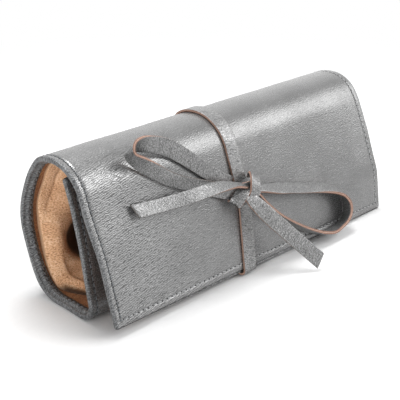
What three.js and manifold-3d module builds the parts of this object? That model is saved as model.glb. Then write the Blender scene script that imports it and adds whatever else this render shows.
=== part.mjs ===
// Jewelry roll: a padded leather panel lined with suede, rolled up and tied with a flat leather lace.
// Millimetres, +Z up. The roll lies along X, its flap hangs at the front (-Y) and it rests on Z = 0.

import * as THREE from 'three';
import { mergeVertices } from 'three/addons/utils/BufferGeometryUtils.js';
import ManifoldModule from 'manifold-3d';

const wasm = await ManifoldModule();
wasm.setup();

const radians = THREE.MathUtils.degToRad;

// Rolled panel, as a section seen from its left end. Turns are measured from +Z towards the back.
const ROLL_LENGTH = 230;
const ROLL_HEIGHT = 85.6;
const TOP_RADIUS = 22.8;
const BACK_RADIUS = 55;
const HEEL_RADIUS = 22;
const FOLD_RADIUS = 10;
const BASE_WIDTH = 21; // flat that the roll rests on
const TOP_SETBACK = 4.9; // centre of the top curve in front of the heel's centre
const FLAP_LEAN = radians(18.9);
const FLAP_FOLD_TURN = radians(-35); // fold line of the flap on the top curve
const INNER_FOLD_TURN = radians(225); // fold line of the inner panel on the front fold
const HEM_LIFT = 2.6; // lowest edge of the flap above the ground
const INNER_DROP = 10.6; // top edge of the inner panel below the roll's top
const INNER_GAP = 1.2; // top edge of the inner panel behind the flap's lining
const FOLD_GAP = 0.3; // between two panels at their fold line
const FACET = radians(9); // largest turn of one flat facet

// Layers of the panel, from the outside in
const LEATHER = 1.2;
const BOARD = 1.7;
const LINING = 0.9;
const LAYER_GAP = 0.2;
const SHELL = LEATHER + BOARD + LINING + 2 * LAYER_GAP;
const BORDER = 5; // leather turned in over the edges
const PARED_LEATHER = 0.6; // leather left over the lace's channel in the base

// Flat lace, its knot and its places along the roll
const LACE_WIDTH = 9.5;
const LACE_THICKNESS = 2;
const LACE_GAP = 0.3; // between the lace and what it lies on
const LACE_LIFT = 0.2; // lace above the ground
const LACE_BACK_X = -8.6;
const LACE_HEM_X = -16.4;
const HEM_TURN = 3; // outer radius of the lace round the flap's hem
const UNDER_START = 6; // joint of the front and under strands, behind the hem's turn
const KNOT_X = -7.5;
const KNOT_RISE = 43.5; // knot's centre above the hem, along the flap
const KNOT_WIDTH = 11;
const KNOT_HEIGHT = 12;
const KNOT_DEPTH = 8.7;
const WRAP_WIDTH = 7;
const WRAP_INSET = 0.5; // side of the wrap from the knot's right side
const WRAP_DROP = 6.2; // how far the wrap's leg reaches down behind the knot
const LACE_STEPS = 2; // facets between two points of a bow's route

// Bow, as seen on the flap: along the roll, up the flap from its hem, out from the leather, and the
// lean of the lace's width from the flap's face outwards, in degrees
const LEFT_LOOP = [
  [-15.4, 45.2, 5.8, 25], [-19.4, 47, 5.6, 28], [-24, 49.2, 5.2, 30], [-35, 53.4, 4.5, 34],
  [-45.7, 58, 4.5, 42], [-55, 62, 4.6, 45], [-62.8, 66.8, 4.6, 46], [-70.6, 72.9, 4.6, 50],
  [-76.8, 78, 4.7, 62], [-80.8, 82, 4.8, 80], [-81.9, 85, 5, 100], [-79.5, 87.4, 4.8, 118],
  [-74, 87.4, 4, 138], [-66, 85.4, 3, 154], [-59.1, 83, 2.5, 160], [-53.2, 79.8, 2.5, 162],
  [-46.8, 74.6, 2.6, 164], [-38.9, 67.8, 2.5, 166], [-30.8, 60.6, 2.4, 168], [-22, 54, 2.2, 170],
  [-15.8, 50.5, 2.1, 172],
];
const LEFT_TAIL = [
  [-12.2, 46.7, 11, -18], [-15.4, 48.2, 11.4, -22], [-19, 49.8, 11.8, -26], [-26, 51.6, 11.9, -30],
  [-33, 52.4, 11.6, -30], [-40, 52.8, 10.4, -26], [-46, 52.9, 9, -21], [-53, 52.9, 7.1, -17],
  [-60, 53, 5.4, -15], [-68, 53.4, 4.1, -14], [-77, 54.1, 3.3, -14], [-86.7, 55.2, 3, -14],
];
const RIGHT_LOOP = [
  [-0.4, 43, 6.2, 32], [6, 41, 5.4, 40], [14, 38.6, 4.8, 44], [26, 35.6, 4.5, 45],
  [38, 32.2, 4.5, 45], [48, 29.6, 4.5, 46], [57, 27, 4.7, 48], [66.4, 23, 5, 56],
  [72.8, 18.4, 5.2, 62], [76, 12.2, 5.2, 67], [74.6, 6, 5.2, 72], [69.8, 1.8, 5.2, 78],
  [62.4, -0.2, 5.2, 84], [55, -1, 5.2, 90], [47, 0.8, 5.2, 90], [35.3, 6.3, 5.2, 90],
  [22.6, 14.4, 5.2, 90], [11.6, 23, 5.3, 90], [5.6, 29.2, 5.5, 90], [1.8, 33.8, 5.7, 90],
];
const RIGHT_TAIL = [
  [-7.2, 34.4, 10.6, 172], [-5, 30.7, 11.7, 170], [-1.2, 24.2, 13.8, 168], [3.4, 16.6, 16.6, 168],
  [8.2, 8.8, 19.4, 168], [13, 1, 22.2, 168], [18.1, -7, 25, 168],
];

// Suede pockets on the inside of the back, each closed by a zip
const POCKET_GAP = 0.3;
const POCKET_INSET = 9.5; // end of a pocket from the end of the roll
const POCKET_EDGE = 1.2; // thickness at the sewn edges
const POCKET_CROWN = 11;
const POCKET_FULLNESS = 0.8; // lower is fuller towards the edges
const POCKET_END = 13; // length over which the ends draw in
const POCKET_END_STEPS = 4;
const POCKET_END_SHARE = 0.3; // share of the crown left at the very end
const UPPER_POCKET_TURN = radians(12);
const UPPER_ZIP_TURN = radians(58);
const UPPER_POCKET_END_TURN = radians(88);
const LOWER_POCKET_TURN = radians(92);
const LOWER_ZIP_TURN = radians(118);
const LOWER_POCKET_REACH = 10; // length of the lower pocket on the flat base

// Zips
const ZIP_MARGIN = 49; // end of the teeth from the end of the roll
const ZIP_LENGTH = ROLL_LENGTH - 2 * ZIP_MARGIN;
const ZIP_GAP = 0.3;
const TAPE_WIDTH = 7;
const TAPE_THICKNESS = 0.8;
const TAPE_SLIT = 0.8;
const TAPE_OVERHANG = 4; // tape past the end of the teeth
const TAPE_SEAT = 1.2; // depth of the tape's seat below the pocket's crown
const CHAIN_WIDTH = 4.2;
const CHAIN_HEIGHT = 1.4;
const STOP_LENGTH = 2;
const SLIDER_LENGTH = 9;
const SLIDER_WALL = 1.2;
const BRIDGE_LENGTH = 1.4;
const BRIDGE_BAR = 1.3;
const BRIDGE_POST = 1;
const EYE_RADIUS = 2;
const EYE_BORE = 1.3;
const EYE_SEGMENTS = 16;
const PULL_LENGTH = 14;
const PULL_WIDTH = 3.4;
const PULL_THICKNESS = 1;

// Padded ring bar on the inner panel, sewn at its left end and snapped at its right end
const BAR_MARGIN = 33; // end of the bar from the end of the roll
const BAR_LENGTH = ROLL_LENGTH - 2 * BAR_MARGIN;
const BAR_RADIUS = 6;
const BAR_ROUNDING = 2.4;
const BAR_SEGMENTS = 16;
const BAR_GAP = 0.4;
const BAR_RISE = 33; // bar's axis above the front fold, along the inner panel
const ANCHOR_LENGTH = 18;
const ANCHOR_WIDTH = 16;
const ANCHOR_THICKNESS = 1.4;
const TAB_LENGTH = 22;
const TAB_WIDTH = 13;
const TAB_THICKNESS = 1.4;
const SNAP_SETBACK = 8; // snap's centre from the tab's free end
const SNAP_BASE_RADIUS = 5;
const SNAP_BASE_HEIGHT = 0.8;
const SNAP_POST_RADIUS = 2;
const SNAP_POST_HEIGHT = 1.1;
const SOCKET_RADIUS = 4.5;
const SOCKET_HEIGHT = 0.9;
const CAP_RADIUS = 5.5;
const CAP_HEIGHT = 1.5;
const SNAP_GAP = 0.3;
const SNAP_SEGMENTS = 20;

const OVERCUT = 1; // how far a cutting body reaches past what it cuts
const LAP = 0.05; // overlap of two cuts that meet, or of two bodies that are joined
const MERGE = 1e-4;

// Finishes
const finish = (color, roughness, metalness = 0) => new THREE.MeshStandardMaterial({ color, roughness, metalness });
const PEWTER_LEATHER = finish('#8f8f91', 0.42, 0.55);
const LACE_LEATHER = finish('#8d8c8c', 0.45, 0.5);
const STIFFENER = finish('#8a7a68', 0.9);
const TAN_SUEDE = finish('#c09472', 0.95);
const ZIP_TAPE = finish('#a97d5c', 0.9);
const NICKEL = finish('#b9b7b2', 0.3, 1);

// Geometry helpers

function facingOut(geometry) {
  const { array } = geometry.attributes.position;
  const index = geometry.index.array;
  const at = (corner) => new THREE.Vector3().fromArray(array, 3 * corner);
  let volume = 0;
  for (let face = 0; face < index.length; face += 3) {
    const [a, b, c] = [at(index[face]), at(index[face + 1]), at(index[face + 2])];
    volume += a.dot(b.cross(c));
  }
  if (volume < 0) index.reverse();
  return geometry;
}

// Closed solid from rings of points: quads between the rings and a cap on the first and last ring.
function solidFromRings(rings, cap = [[0, 1, 2], [0, 2, 3]]) {
  const size = rings[0].length;
  const faces = [];
  for (let ring = 0; ring + 1 < rings.length; ring += 1) {
    for (let corner = 0; corner < size; corner += 1) {
      const next = (corner + 1) % size;
      const [a, b] = [ring * size + corner, ring * size + next];
      faces.push(a, b, b + size, a, b + size, a + size);
    }
  }
  const last = (rings.length - 1) * size;
  for (const [a, b, c] of cap) {
    faces.push(a, c, b, last + a, last + b, last + c);
  }
  const geometry = new THREE.BufferGeometry();
  const points = rings.flat().flatMap((point) => point.toArray());
  geometry.setAttribute('position', new THREE.Float32BufferAttribute(points, 3));
  geometry.setIndex(faces);
  return facingOut(geometry);
}

// Triangles that fill a ring in the section, wound the way the ring runs.
function sectionCap(ring) {
  const contour = ring.map(({ y, z }) => new THREE.Vector2(y, z));
  const faces = THREE.ShapeUtils.triangulateShape(contour, []);
  const faceArea = THREE.ShapeUtils.area(faces[0].map((corner) => contour[corner]));
  const alike = Math.sign(faceArea) === Math.sign(THREE.ShapeUtils.area(contour));
  return alike ? faces : faces.map(([a, b, c]) => [c, b, a]);
}

function toManifold(geometry) {
  const bare = geometry.clone();
  bare.deleteAttribute('normal');
  bare.deleteAttribute('uv');
  const merged = mergeVertices(bare, MERGE);
  return new wasm.Manifold(new wasm.Mesh({
    numProp: 3,
    vertProperties: new Float32Array(merged.attributes.position.array),
    triVerts: new Uint32Array(merged.index.array),
  }));
}

function fromManifold(solid) {
  const mesh = solid.getMesh();
  const geometry = new THREE.BufferGeometry();
  geometry.setAttribute('position', new THREE.BufferAttribute(mesh.vertProperties, mesh.numProp));
  geometry.setIndex(new THREE.BufferAttribute(mesh.triVerts, 1));
  return geometry;
}

function cut(geometry, ...tools) {
  const whole = toManifold(geometry);
  return fromManifold(tools.reduce((solid, tool) => solid.subtract(toManifold(tool)), whole));
}

function join(geometry, ...others) {
  const whole = toManifold(geometry);
  return fromManifold(others.reduce((solid, other) => solid.add(toManifold(other)), whole));
}

function block(x0, x1, y0, y1, z0, z1) {
  const box = new THREE.BoxGeometry(x1 - x0, y1 - y0, z1 - z0);
  return box.translate((x0 + x1) / 2, (y0 + y1) / 2, (z0 + z1) / 2);
}

// Outlines in the section. A station is a place on the outline, its outward turn and its distance along.

const outward = (turn) => ({ y: Math.sin(turn), z: Math.cos(turn) });
const along = (turn) => ({ y: Math.cos(turn), z: -Math.sin(turn) });
const turnOf = (from, to) => Math.atan2(to.y - from.y, to.z - from.z);
const moved = (place, direction, distance) => ({
  y: place.y + direction.y * distance,
  z: place.z + direction.z * distance,
});

// Chain of tangent arcs, with a straight run before the first and after the last.
function traceOutline(arcs, leadIn, leadOut) {
  const places = [];
  for (const { centre, radius, from, to } of arcs) {
    const steps = Math.ceil((to - from) / FACET);
    for (let step = 0; step <= steps; step += 1) {
      const turn = from + ((to - from) * step) / steps;
      places.push({ ...moved(centre, outward(turn), radius), turn });
    }
  }
  const first = places[0];
  const last = places[places.length - 1];
  places.unshift({ ...moved(first, along(first.turn), -leadIn), turn: first.turn });
  places.push({ ...moved(last, along(last.turn), leadOut), turn: last.turn });
  const stations = [{ ...places[0], s: 0 }];
  for (const place of places.slice(1)) {
    const previous = stations[stations.length - 1];
    const step = Math.hypot(place.y - previous.y, place.z - previous.z);
    if (step > MERGE) stations.push({ ...place, s: previous.s + step });
  }
  return stations;
}

// Station where the distance or the turn has a given value.
function stationAt(outline, key, value) {
  const next = Math.max(1, outline.findIndex((station) => station[key] >= value - MERGE));
  const [a, b] = [outline[next - 1], outline[next]];
  const share = (value - a[key]) / (b[key] - a[key]);
  const mix = (name) => THREE.MathUtils.lerp(a[name], b[name], share);
  return { y: mix('y'), z: mix('z'), turn: mix('turn'), s: mix('s') };
}

function stationsBetween(outline, start, end) {
  const inside = outline.filter((station) => station.s > start + MERGE && station.s < end - MERGE);
  return [stationAt(outline, 's', start), ...inside, stationAt(outline, 's', end)];
}

const inset = (station, depth) => moved(station, outward(station.turn), -depth);

// Band that follows an outline between two depths, with its middle shifted along X.
function band(outline, start, end, outerDepth, innerDepth, width, middle = () => 0) {
  const rings = stationsBetween(outline, start, end).map((station) => {
    const outer = inset(station, outerDepth);
    const inner = inset(station, innerDepth);
    const [left, right] = [middle(station.s) - width / 2, middle(station.s) + width / 2];
    return [
      new THREE.Vector3(left, outer.y, outer.z),
      new THREE.Vector3(right, outer.y, outer.z),
      new THREE.Vector3(right, inner.y, inner.z),
      new THREE.Vector3(left, inner.y, inner.z),
    ];
  });
  return solidFromRings(rings);
}

// Section of the rolled panel: flap, top, back, heel, base, front fold and inner panel

const topCentre = { y: -TOP_SETBACK, z: ROLL_HEIGHT - TOP_RADIUS };
const heelCentre = { y: 0, z: HEEL_RADIUS };
const foldCentre = { y: -BASE_WIDTH, z: FOLD_RADIUS };

// Centre, in front of the other two, of the circle that both of them touch from inside.
function enclosingCentre(a, reachA, b, reachB) {
  const apart = Math.hypot(b.y - a.y, b.z - a.z);
  const down = { y: (b.y - a.y) / apart, z: (b.z - a.z) / apart };
  const foot = (reachA ** 2 - reachB ** 2 + apart ** 2) / (2 * apart);
  const sideways = Math.sqrt(reachA ** 2 - foot ** 2);
  return moved(moved(a, down, foot), { y: down.z, z: -down.y }, sideways);
}

const backCentre = enclosingCentre(topCentre, BACK_RADIUS - TOP_RADIUS, heelCentre, BACK_RADIUS - HEEL_RADIUS);
const FLAP_TURN = FLAP_LEAN - Math.PI / 2;
const BASE_TURN = Math.PI;
const backStartTurn = turnOf(backCentre, topCentre);
const backEndTurn = turnOf(backCentre, heelCentre);

// The inner panel runs from the front fold to a point behind the flap's lining.
const innerTopZ = ROLL_HEIGHT - INNER_DROP;
const liningRadius = TOP_RADIUS - SHELL;
const innerTop = {
  y: topCentre.y - Math.sqrt(liningRadius ** 2 - (innerTopZ - topCentre.z) ** 2) + INNER_GAP,
  z: innerTopZ,
};
const innerReach = Math.hypot(innerTop.y - foldCentre.y, innerTop.z - foldCentre.z);
const innerLean = turnOf(foldCentre, innerTop) + Math.asin(FOLD_RADIUS / innerReach);
const INNER_TURN = 1.5 * Math.PI + innerLean;
const innerRise = Math.sqrt(innerReach ** 2 - FOLD_RADIUS ** 2);

const flapTop = moved(topCentre, outward(FLAP_TURN), TOP_RADIUS);
const hemZ = HEM_LIFT + SHELL * Math.sin(FLAP_LEAN);
const flapFall = (flapTop.z - hemZ) / Math.cos(FLAP_LEAN);
const hem = moved(flapTop, along(FLAP_TURN), -flapFall);

const PANEL = traceOutline([
  { centre: topCentre, radius: TOP_RADIUS, from: FLAP_TURN, to: FLAP_FOLD_TURN },
  { centre: topCentre, radius: TOP_RADIUS, from: FLAP_FOLD_TURN, to: backStartTurn },
  { centre: backCentre, radius: BACK_RADIUS, from: backStartTurn, to: backEndTurn },
  { centre: heelCentre, radius: HEEL_RADIUS, from: backEndTurn, to: BASE_TURN },
  { centre: foldCentre, radius: FOLD_RADIUS, from: BASE_TURN, to: INNER_FOLD_TURN },
  { centre: foldCentre, radius: FOLD_RADIUS, from: INNER_FOLD_TURN, to: INNER_TURN },
], flapFall, innerRise);

const flapFold = stationAt(PANEL, 'turn', FLAP_FOLD_TURN).s;
const innerFold = stationAt(PANEL, 'turn', INNER_FOLD_TURN).s;
const panelEnd = PANEL[PANEL.length - 1].s;

// Section of the lace's outer face: from the knot up the flap, round the roll and back to the knot

const laceStack = LACE_GAP + LACE_THICKNESS;
const laceBase = LACE_LIFT + HEEL_RADIUS + laceStack;
const laceHeelCentre = {
  y: backCentre.y + Math.sqrt((BACK_RADIUS - HEEL_RADIUS) ** 2 - (laceBase - backCentre.z) ** 2),
  z: laceBase,
};
const laceHeelTurn = turnOf(backCentre, laceHeelCentre);
const hemTurnZ = LACE_LIFT + HEM_TURN;
const flapOutward = outward(FLAP_TURN);
const hemTurnCentre = {
  y: hem.y + (laceStack - HEM_TURN - (hemTurnZ - hem.z) * flapOutward.z) / flapOutward.y,
  z: hemTurnZ,
};
const hemTurnRise = (hemTurnCentre.y - hem.y) * along(FLAP_TURN).y + (hemTurnZ - hem.z) * along(FLAP_TURN).z;
const knotTop = KNOT_RISE + KNOT_HEIGHT / 2 + LACE_GAP;
const knotBottom = KNOT_RISE - KNOT_HEIGHT / 2 - LACE_GAP;

const LACE = traceOutline([
  { centre: topCentre, radius: TOP_RADIUS + laceStack, from: FLAP_TURN, to: FLAP_FOLD_TURN },
  { centre: topCentre, radius: TOP_RADIUS + laceStack, from: FLAP_FOLD_TURN, to: backStartTurn },
  { centre: backCentre, radius: BACK_RADIUS + laceStack, from: backStartTurn, to: laceHeelTurn },
  { centre: laceHeelCentre, radius: HEEL_RADIUS + laceStack, from: laceHeelTurn, to: BASE_TURN },
  { centre: hemTurnCentre, radius: HEM_TURN, from: BASE_TURN, to: FLAP_TURN + 2 * Math.PI },
], flapFall - knotTop, knotBottom - hemTurnRise);

const laceFold = stationAt(LACE, 'turn', FLAP_FOLD_TURN).s;
const laceHeel = stationAt(LACE, 'turn', laceHeelTurn).s;
const laceEnd = LACE[LACE.length - 1].s;
const hemTurnStart = laceEnd - (knotBottom - hemTurnRise) - HEM_TURN * (FLAP_TURN + Math.PI);
const laceJoint = hemTurnStart - UNDER_START;

// The lace runs straight over the back, slants under the base to the hem and slants up to the knot.
function laceMiddle(s) {
  const slide = (a, b, from, to) => THREE.MathUtils.mapLinear(s, a, b, from, to);
  if (s < laceFold) return slide(0, laceFold, KNOT_X, LACE_BACK_X);
  if (s < laceHeel) return LACE_BACK_X;
  if (s < hemTurnStart) return slide(laceHeel, hemTurnStart, LACE_BACK_X, LACE_HEM_X);
  return slide(hemTurnStart, laceEnd, LACE_HEM_X, KNOT_X);
}

const laceStrand = (start, end) => band(LACE, start, end, 0, LACE_THICKNESS, LACE_WIDTH, laceMiddle);

// Room for the lace where it sinks into the base, with a margin round it.
function laceRoom(margin) {
  const width = LACE_WIDTH + 2 * (LACE_GAP + margin);
  return band(LACE, laceFold, laceJoint, -OVERCUT, LACE_THICKNESS + LACE_GAP + margin, width, laceMiddle);
}

// Panels: each has its stretch of the outline, and a free edge where its leather is turned in

const half = FOLD_GAP / 2;
const FLAP = { start: 0, end: flapFold - half, freeStart: true, freeEnd: false };
const BACK = { start: flapFold + half, end: innerFold - half, freeStart: false, freeEnd: false };
const INNER = { start: innerFold + half, end: panelEnd, freeStart: false, freeEnd: true };

// Layer of a panel that stops short of the free edges by an inset, or runs past the fold lines by a reach.
function layer({ start, end, freeStart, freeEnd }, outerDepth, innerDepth, edge, reach) {
  const from = freeStart ? start + edge : start - reach;
  const to = freeEnd ? end - edge : end + reach;
  return band(PANEL, from, to, outerDepth, innerDepth, ROLL_LENGTH - 2 * edge);
}

const panelSkin = (panel) => layer(panel, 0, SHELL, 0, 0);
const boardRoom = (panel) => layer(panel, LEATHER, SHELL - LINING, LEATHER, OVERCUT);
const liningRoom = (panel) => layer(panel, SHELL - LINING - LAP, SHELL + OVERCUT, BORDER, OVERCUT);

// Leather over the whole outside, turned in round the free edges.
const turnedLeather = (panel) => cut(panelSkin(panel), boardRoom(panel), liningRoom(panel));

// The back's leather also dips into the base to make room for the lace.
function channelledLeather(panel) {
  const skin = cut(panelSkin(panel), laceRoom(0));
  const room = cut(boardRoom(panel), laceRoom(PARED_LEATHER));
  return cut(skin, room, liningRoom(panel));
}

const board = (panel) => layer(panel, LEATHER + LAYER_GAP, LEATHER + LAYER_GAP + BOARD, LEATHER + LAYER_GAP, 0);
const channelledBoard = (panel) => cut(board(panel), laceRoom(PARED_LEATHER + LAYER_GAP));
const lining = (panel) => layer(panel, SHELL - LINING, SHELL, BORDER + LAYER_GAP, 0);

// Frame on the panel: X along the roll, Y against the outline's direction, Z into the roll.
function insideFrame(station) {
  const frame = new THREE.Group();
  frame.position.set(0, station.y, station.z);
  frame.rotation.x = Math.PI - station.turn;
  return frame;
}

// Frame on the flap's outer face, at its hem: X along the roll, Y up the flap, Z out of it.
function flapFrame() {
  const frame = new THREE.Group();
  frame.position.set(0, hem.y, hem.z);
  frame.rotation.x = -FLAP_TURN;
  return frame;
}

// Bow and knot, in the flap's frame

// Flat lace along a route. Its width lies in the plane square to the route's run on the flap.
function ribbon(route) {
  const curve = new THREE.CatmullRomCurve3(route.map(([x, y, z]) => new THREE.Vector3(x, y, z)), false, 'centripetal');
  const steps = (route.length - 1) * LACE_STEPS;
  const rings = [];
  for (let step = 0; step <= steps; step += 1) {
    const share = step / steps;
    const point = curve.getPoint(share);
    const run = curve.getTangent(share);
    const from = Math.min(Math.floor(step / LACE_STEPS), route.length - 2);
    const lean = radians(THREE.MathUtils.lerp(route[from][3], route[from + 1][3], step / LACE_STEPS - from));
    const across = new THREE.Vector3(run.y, -run.x, 0).normalize().multiplyScalar(Math.cos(lean));
    across.z = Math.sin(lean);
    across.addScaledVector(run, -across.dot(run)).setLength(LACE_WIDTH / 2);
    const through = run.clone().cross(across).setLength(LACE_THICKNESS / 2);
    const corner = (a, b) => point.clone().addScaledVector(across, a).addScaledVector(through, b);
    rings.push([corner(-1, -1), corner(1, -1), corner(1, 1), corner(-1, 1)]);
  }
  return solidFromRings(rings);
}

const knotLeft = KNOT_X - KNOT_WIDTH / 2;
const knotRight = KNOT_X + KNOT_WIDTH / 2;

function knotCore() {
  const [bottom, top] = [KNOT_RISE - KNOT_HEIGHT / 2, KNOT_RISE + KNOT_HEIGHT / 2];
  return block(knotLeft, knotRight, bottom, top, LACE_GAP, LACE_GAP + KNOT_DEPTH);
}

// The turn of lace over the knot: a plate on its face and a leg behind its upper side.
function knotWrap() {
  const right = knotRight - WRAP_INSET;
  const left = right - WRAP_WIDTH;
  const face = LACE_GAP + KNOT_DEPTH + LACE_GAP;
  const bottom = KNOT_RISE - KNOT_HEIGHT / 2 + LACE_GAP;
  const plate = block(left, right, bottom, knotTop + LACE_THICKNESS, face, face + LACE_THICKNESS);
  const leg = block(left, right, knotTop, knotTop + LACE_THICKNESS, face - WRAP_DROP, face + LAP);
  return join(plate, leg);
}

// Pockets

// Crowned suede pocket on the lining, with ends that draw in and a seat for the zip's tape.
function pocket(startStation, endStation, zip) {
  const floor = SHELL + POCKET_GAP;
  const stations = stationsBetween(PANEL, startStation.s, endStation.s);
  const crown = stations.map(({ s }) => {
    const share = (s - startStation.s) / (endStation.s - startStation.s);
    return Math.max(0, Math.sin(Math.PI * share)) ** POCKET_FULLNESS * (POCKET_CROWN - POCKET_EDGE);
  });
  const halfLength = ROLL_LENGTH / 2 - POCKET_INSET;
  const ends = [];
  for (let step = 0; step <= POCKET_END_STEPS; step += 1) {
    const swing = (Math.PI / 2) * (step / POCKET_END_STEPS);
    const share = POCKET_END_SHARE + (1 - POCKET_END_SHARE) * Math.sin(swing);
    ends.push({ x: halfLength - POCKET_END * (1 - Math.cos(swing)), share });
  }
  const slices = [...ends.map(({ x, share }) => ({ x: -x, share })), ...ends.reverse()];
  const rings = slices.map(({ x, share }) => {
    const under = stations.map((station) => inset(station, floor));
    const over = stations.map((station, i) => inset(station, floor + POCKET_EDGE + crown[i] * share));
    return [...under, ...over.reverse()].map(({ y, z }) => new THREE.Vector3(x, y, z));
  });
  const pad = solidFromRings(rings, sectionCap(rings[0]));
  return cut(pad, tapeSeat(zip));
}

// Zips. Heights are measured into the roll from the leather's outer face.

const seatFloor = SHELL + POCKET_GAP + POCKET_CROWN - TAPE_SEAT;
const tapeTop = seatFloor + ZIP_GAP + TAPE_THICKNESS;
const chainTop = tapeTop + ZIP_GAP + CHAIN_HEIGHT;
const sliderTop = chainTop + ZIP_GAP + SLIDER_WALL;
const bridgeMiddle = sliderTop + ZIP_GAP + EYE_RADIUS;
const tapeHalfLength = ZIP_LENGTH / 2 + STOP_LENGTH + ZIP_GAP + TAPE_OVERHANG;
const tapeHalfWidth = TAPE_SLIT / 2 + TAPE_WIDTH;
const sliderHalfWidth = CHAIN_WIDTH / 2 + ZIP_GAP + SLIDER_WALL;
const sliderX = ZIP_LENGTH / 2 - SLIDER_LENGTH / 2;

function tapeSeat(zip) {
  const [x, y] = [tapeHalfLength + ZIP_GAP, tapeHalfWidth + ZIP_GAP];
  const seat = block(-x, x, -y, y, seatFloor, seatFloor + POCKET_CROWN);
  const frame = insideFrame(zip);
  frame.updateMatrix();
  return seat.applyMatrix4(frame.matrix);
}

function zipTape(side) {
  const [near, far] = [TAPE_SLIT / 2, tapeHalfWidth].map((reach) => side * reach);
  const [low, high] = [Math.min(near, far), Math.max(near, far)];
  return block(-tapeHalfLength, tapeHalfLength, low, high, seatFloor + ZIP_GAP, tapeTop);
}

function zipChain() {
  return block(-ZIP_LENGTH / 2, ZIP_LENGTH / 2, -CHAIN_WIDTH / 2, CHAIN_WIDTH / 2, tapeTop + ZIP_GAP, chainTop);
}

function zipStop(side) {
  const near = ZIP_LENGTH / 2 + ZIP_GAP;
  const [low, high] = side > 0 ? [near, near + STOP_LENGTH] : [-near - STOP_LENGTH, -near];
  return block(low, high, -CHAIN_WIDTH / 2, CHAIN_WIDTH / 2, tapeTop + ZIP_GAP, chainTop);
}

// Saddle over the teeth, with a bridge that carries the pull.
function zipSlider() {
  const [x0, x1] = [sliderX - SLIDER_LENGTH / 2, sliderX + SLIDER_LENGTH / 2];
  const foot = tapeTop + ZIP_GAP;
  const channel = CHAIN_WIDTH / 2 + ZIP_GAP;
  const body = block(x0, x1, -sliderHalfWidth, sliderHalfWidth, foot, sliderTop);
  const teethWay = block(x0 - OVERCUT, x1 + OVERCUT, -channel, channel, foot - OVERCUT, chainTop + ZIP_GAP);
  const [b0, b1] = [sliderX - BRIDGE_LENGTH / 2, sliderX + BRIDGE_LENGTH / 2];
  const opening = PULL_WIDTH / 2 + ZIP_GAP;
  const bar = [bridgeMiddle - BRIDGE_BAR / 2, bridgeMiddle + BRIDGE_BAR / 2];
  const bridge = block(b0, b1, -opening - BRIDGE_POST, opening + BRIDGE_POST, sliderTop - LAP, bar[1]);
  const eyeWay = block(b0 - OVERCUT, b1 + OVERCUT, -opening, opening, sliderTop, bar[0]);
  return join(cut(body, teethWay), cut(bridge, eyeWay));
}

// Tab with a round eye about the slider's bridge, lying back over the teeth.
function zipPull() {
  const reach = Math.sqrt(EYE_RADIUS ** 2 - (PULL_THICKNESS / 2) ** 2);
  const shape = new THREE.Shape();
  const startTurn = Math.PI + Math.asin(PULL_THICKNESS / 2 / EYE_RADIUS);
  const endTurn = 3 * Math.PI - Math.asin(PULL_THICKNESS / 2 / EYE_RADIUS);
  shape.moveTo(-PULL_LENGTH, PULL_THICKNESS / 2);
  shape.lineTo(-PULL_LENGTH, -PULL_THICKNESS / 2);
  shape.lineTo(-reach, -PULL_THICKNESS / 2);
  shape.absarc(0, 0, EYE_RADIUS, startTurn, endTurn, false);
  const bore = new THREE.Path();
  bore.absarc(0, 0, EYE_BORE, 0, 2 * Math.PI, false);
  shape.holes.push(bore);
  const tab = new THREE.ExtrudeGeometry(shape, {
    depth: PULL_WIDTH, bevelEnabled: false, curveSegments: EYE_SEGMENTS,
  });
  tab.translate(0, 0, -PULL_WIDTH / 2);
  tab.rotateX(Math.PI / 2);
  return tab.translate(sliderX, 0, bridgeMiddle);
}

// Ring bar and snap, in a frame on the inner panel

const barAxis = SHELL + BAR_GAP + BAR_RADIUS;
const barLeft = -BAR_LENGTH / 2;
const barRight = BAR_LENGTH / 2;
const snapX = barRight + BAR_GAP + TAB_LENGTH - SNAP_SETBACK;
const snapBaseTop = SHELL + SNAP_GAP + SNAP_BASE_HEIGHT;
const socketFloor = snapBaseTop + SNAP_GAP;
const tabFloor = socketFloor + SOCKET_HEIGHT + SNAP_GAP;
const capFloor = tabFloor + TAB_THICKNESS + SNAP_GAP;

// Turned body with its axis along Z, from radius and height pairs that start and end on the axis.
function turned(profile, segments) {
  const lathe = new THREE.LatheGeometry(profile.map(([r, z]) => new THREE.Vector2(r, z)), segments);
  return lathe.rotateX(Math.PI / 2);
}

function ringBar() {
  const shoulder = BAR_RADIUS - BAR_ROUNDING;
  const slope = BAR_ROUNDING * (1 - Math.SQRT1_2);
  const bar = turned([
    [0, 0], [shoulder, 0], [BAR_RADIUS - slope, slope], [BAR_RADIUS, BAR_ROUNDING],
    [BAR_RADIUS, BAR_LENGTH - BAR_ROUNDING], [BAR_RADIUS - slope, BAR_LENGTH - slope],
    [shoulder, BAR_LENGTH], [0, BAR_LENGTH],
  ], BAR_SEGMENTS);
  return bar.rotateY(Math.PI / 2).translate(barLeft, 0, barAxis);
}

// Sewn tab at the bar's left end, with an upstand that meets the bar's end.
function barAnchor() {
  const end = barLeft - BAR_GAP;
  const [low, high] = [SHELL + BAR_GAP, SHELL + BAR_GAP + ANCHOR_THICKNESS];
  const sole = block(end - ANCHOR_LENGTH, end, -ANCHOR_WIDTH / 2, ANCHOR_WIDTH / 2, low, high);
  const upstand = block(end - ANCHOR_THICKNESS, end, -ANCHOR_WIDTH / 2, ANCHOR_WIDTH / 2, high - LAP, barAxis);
  return join(sole, upstand);
}

function barTab() {
  const start = barRight + BAR_GAP;
  const top = tabFloor + TAB_THICKNESS;
  const tongue = block(start, start + TAB_LENGTH, -TAB_WIDTH / 2, TAB_WIDTH / 2, tabFloor, top);
  const upstand = block(start, start + TAB_THICKNESS, -TAB_WIDTH / 2, TAB_WIDTH / 2, top - LAP, barAxis);
  return join(tongue, upstand);
}

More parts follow.
